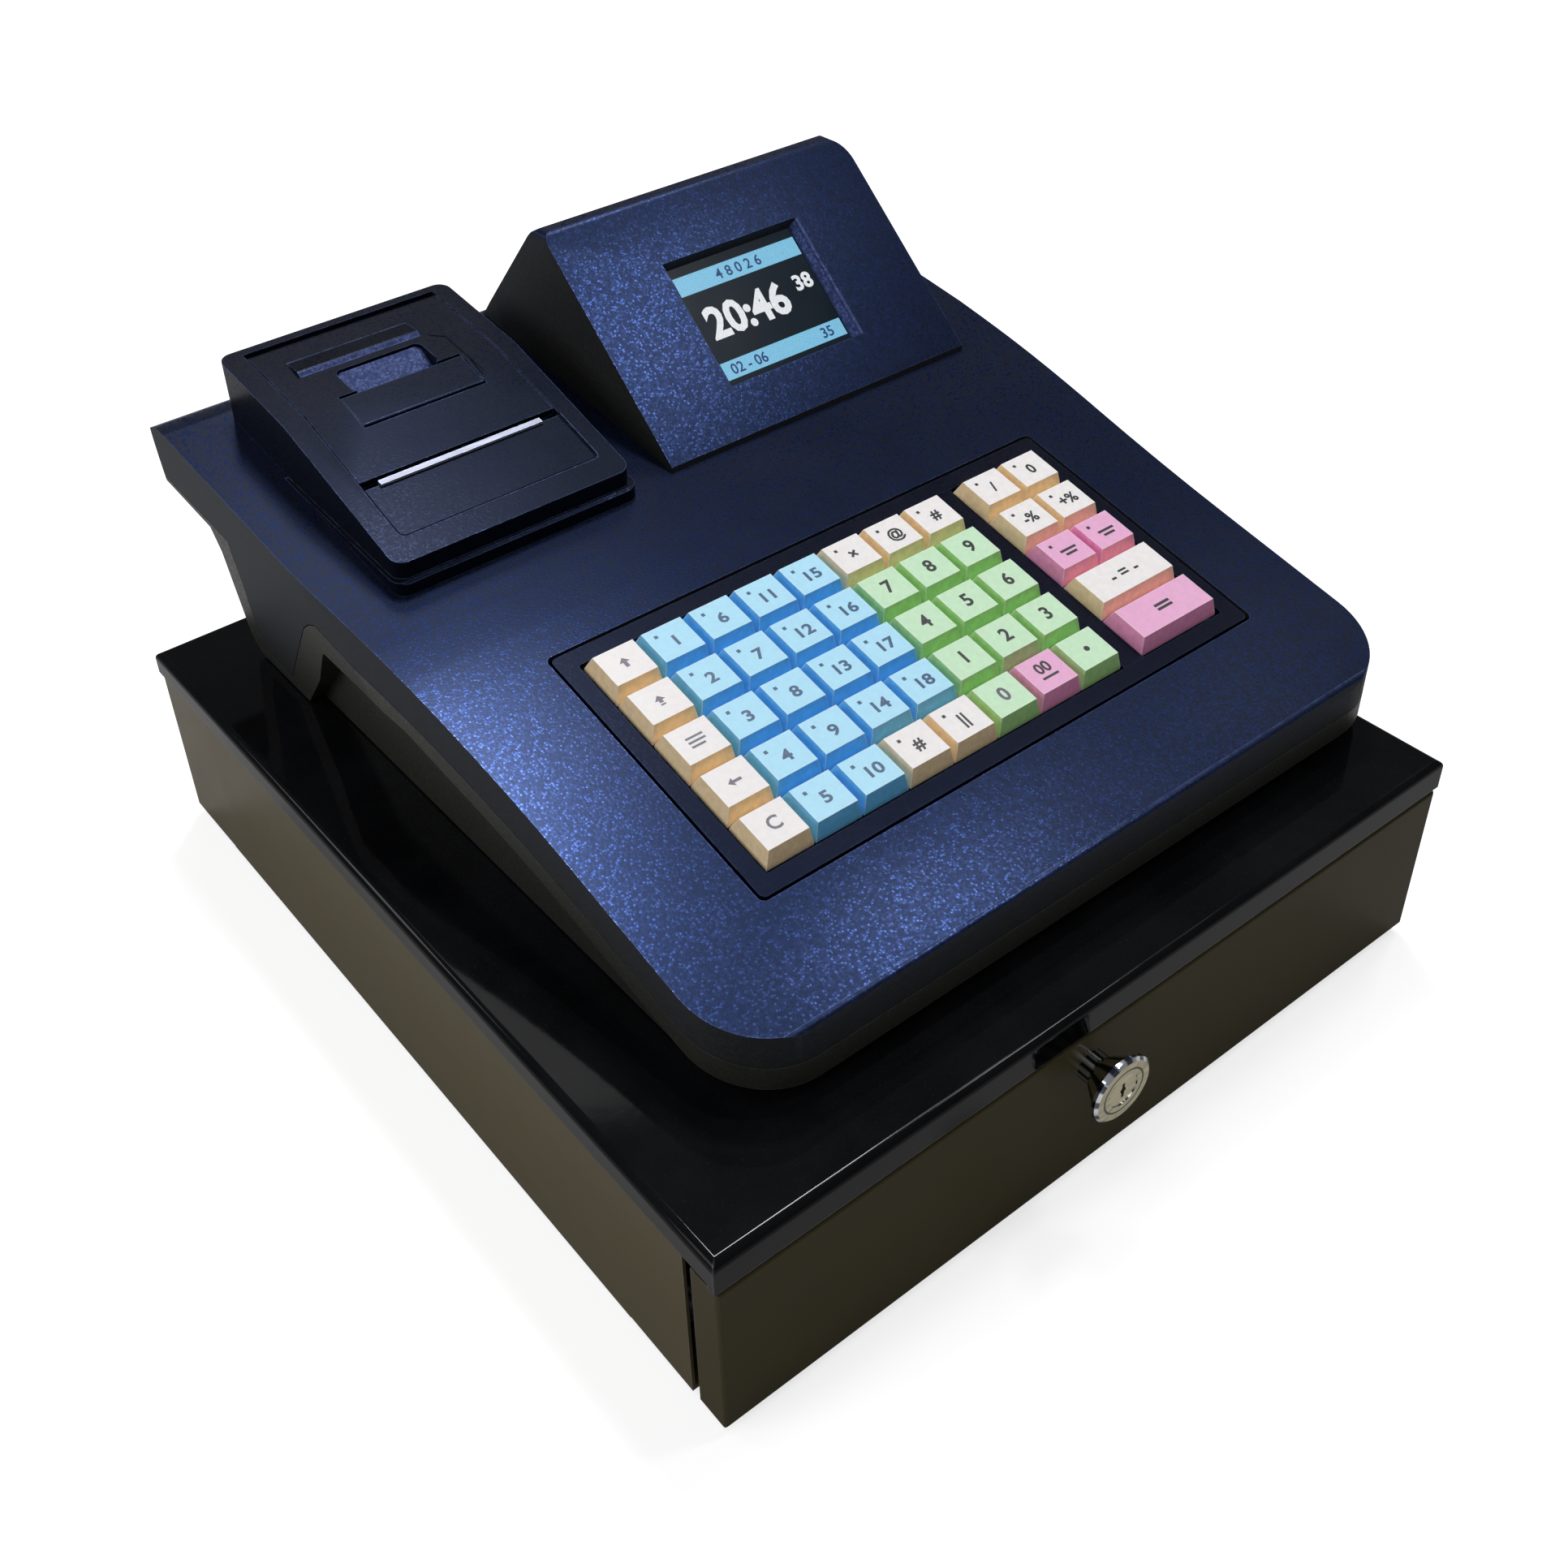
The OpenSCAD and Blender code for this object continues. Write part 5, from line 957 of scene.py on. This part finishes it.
def trim_printer():
    """Groove and rim of the front panel, and the ledge, scoop and groove of the hatch; the grooves are
    painted shade, and the rim, the ledge's face and the scoop painted light.
    """
    # painted shade: a near-black line for the shade in the panel's groove
    groove = Stamp(ON_PANEL, 0.0)
    path_line(groove, panel_outline(0), 0.5)
    groove.piece("panel_groove", "register", "printer_plastic", finishes["groove_painted_shade"])
    # painted highlight: a pale line along the groove's lit edge
    rim = Stamp(ON_PANEL, 0.0)
    path_line(rim, panel_outline(-0.45), 0.22)
    rim.piece("panel_rim", "register", "printer_plastic", finishes["navy_painted_light"])
    ledge_ends = (-28.5, 20.5)
    hatch_prism([(3.4, 0.0), (4.6, 1.1), (5.4, 1.3), (14.0, 0.02)], ledge_ends,
                "hatch_ledge", "printer_plastic")
    # painted highlight: the ledge's face in the lighter navy
    hatch_prism([(3.0, 0.02), (4.5, 1.16), (4.7, 1.1), (3.5, 0.02)], ledge_ends,
                "ledge_face", "navy_painted_light")
    # painted light: the scoop's floor in the lighter navy, as if lit
    hatch_prism([(-0.3, -1.2), (-13.0, -6.8), (-13.4, -7.4), (-0.3, -7.4)], (-16.8, 17.8),
                "pocket_scoop", "navy_painted_light")
    # painted shade: a near-black line for the shade in the hatch's groove
    lines = Stamp(ON_HATCH, 0.0)
    path_line(lines, [(23.5, POCKET_BACK + 1.5), (28.0, POCKET_BACK - 2), (28.0, POCKET_BACK - 28)], 0.45)
    lines.piece("hatch_groove", "printer_hatch", "printer_plastic", finishes["groove_painted_shade"])


# ---------------------------------------------------------------- stage
FLOOR_REACH = 6.0
FLOOR_GAP = 0.0002

# softboxes: place, target, side in metres, watts; the small ones draw the sheen on the sloping faces
SOFTBOXES = {
    "rear_softbox": ((0.415, 0.585, 1.879), (-0.1, -0.03, 0.13), 0.24, 15),
    "high_softbox": ((0.526, 0.352, 1.915), (-0.1, -0.03, 0.13), 0.24, 2.5),
    "middle_softbox": ((0.919, 0.034, 1.792), (0.0, -0.1, 0.10), 0.24, 4.4),
    "front_softbox": ((0.943, -0.575, 1.686), (0.01, 0.09, 0.18), 0.24, 4.2),
    "right_softbox": ((1.317, 0.062, 1.497), (0.1, -0.1, 0.10), 0.3, 0.4),
    "corner_softbox": ((0.5, 1.2, 1.5), (-0.13, 0.05, 0.15), 0.45, 1.3),
    "rim_softbox": ((-1.0, 1.31, 1.18), (-0.15, 0.0, 0.1), 0.4, 3),
    "left_softbox": ((-2.1, 0.4, 1.0), (0.0, 0.0, 0.1), 1.2, 15),
    "top_softbox": ((-0.75, -0.13, 1.9), (0.0, 0.0, 0.1), 0.8, 4),
    "fill_softbox": ((-1.0, -1.3, 1.6), (0.0, 0.0, 0.1), 1.0, 8),
}
ROOM_LIGHT = 0.06
MIRRORED_ROOM_LIGHT = 0.2


def lay_floor():
    """A plain floor, far wider than the view, that turns white for the camera away from the object."""
    work = bmesh.new()
    low = cad_box[0][2] - FLOOR_GAP
    corners = [(-FLOOR_REACH, -FLOOR_REACH), (FLOOR_REACH, -FLOOR_REACH),
               (FLOOR_REACH, FLOOR_REACH), (-FLOOR_REACH, FLOOR_REACH)]
    work.faces.new([work.verts.new((x, y, low)) for x, y in corners])
    mesh = bpy.data.meshes.new("floor")
    work.to_mesh(mesh)
    work.free()
    floor = bpy.data.objects.new("floor", mesh)
    bpy.context.scene.collection.objects.link(floor)
    material, n, shader = start("floor_white")
    shader["Base Color"].default_value = (0.6, 0.6, 0.6, 1)
    shader["Roughness"].default_value = 0.9
    shader["Specular IOR Level"].default_value = 0.1
    shader["Emission Color"].default_value = (1, 1, 1, 1)
    path = n.add("ShaderNodeLightPath")
    away = n.add("ShaderNodeVectorMath", operation="LENGTH")
    n.join(n.place(), away.inputs[0])
    white = n.ramp(away.outputs["Value"], 0.7, 2.2, 0.68, 1.0)
    n.join(n.math("MULTIPLY", path.outputs["Is Camera Ray"], white), shader["Emission Strength"])
    mesh.materials.append(material)


def area_light(name, place, target, side, watts):
    """A square softbox that faces its target."""
    data = bpy.data.lights.new(name, "AREA")
    data.shape = "SQUARE"
    data.size = side
    data.energy = watts
    lamp = bpy.data.objects.new(name, data)
    towards = (Vector(target) - Vector(place)).normalized()
    lamp.matrix_world = Matrix.Translation(place) @ towards.to_track_quat("-Z", "Y").to_matrix().to_4x4()
    bpy.context.scene.collection.objects.link(lamp)


def light_studio():
    """Softboxes, and a room that is white where seen, grey where mirrored and weak as a light."""
    for name, values in SOFTBOXES.items():
        area_light(name, *values)
    world = bpy.data.worlds.new("studio")
    world.use_nodes = True
    n = Nodes(world.node_tree)
    shade = world.node_tree.nodes["Background"].inputs
    path = n.add("ShaderNodeLightPath").outputs
    n.join(n.mix(path["Is Camera Ray"], (0.95, 0.97, 1.0, 1), (1, 1, 1, 1)), shade["Color"])
    mirrored = n.ramp(path["Is Glossy Ray"], 0.0, 1.0, ROOM_LIGHT, MIRRORED_ROOM_LIGHT)
    n.join(n.math("MAXIMUM", path["Is Camera Ray"], mirrored), shade["Strength"])
    bpy.context.scene.world = world
    bpy.context.scene.view_settings.view_transform = "Standard"


aim_camera()
dress_nodes()
print_legends()
light_screen()
window_bevel()
trim_printer()
lay_floor()
light_studio()
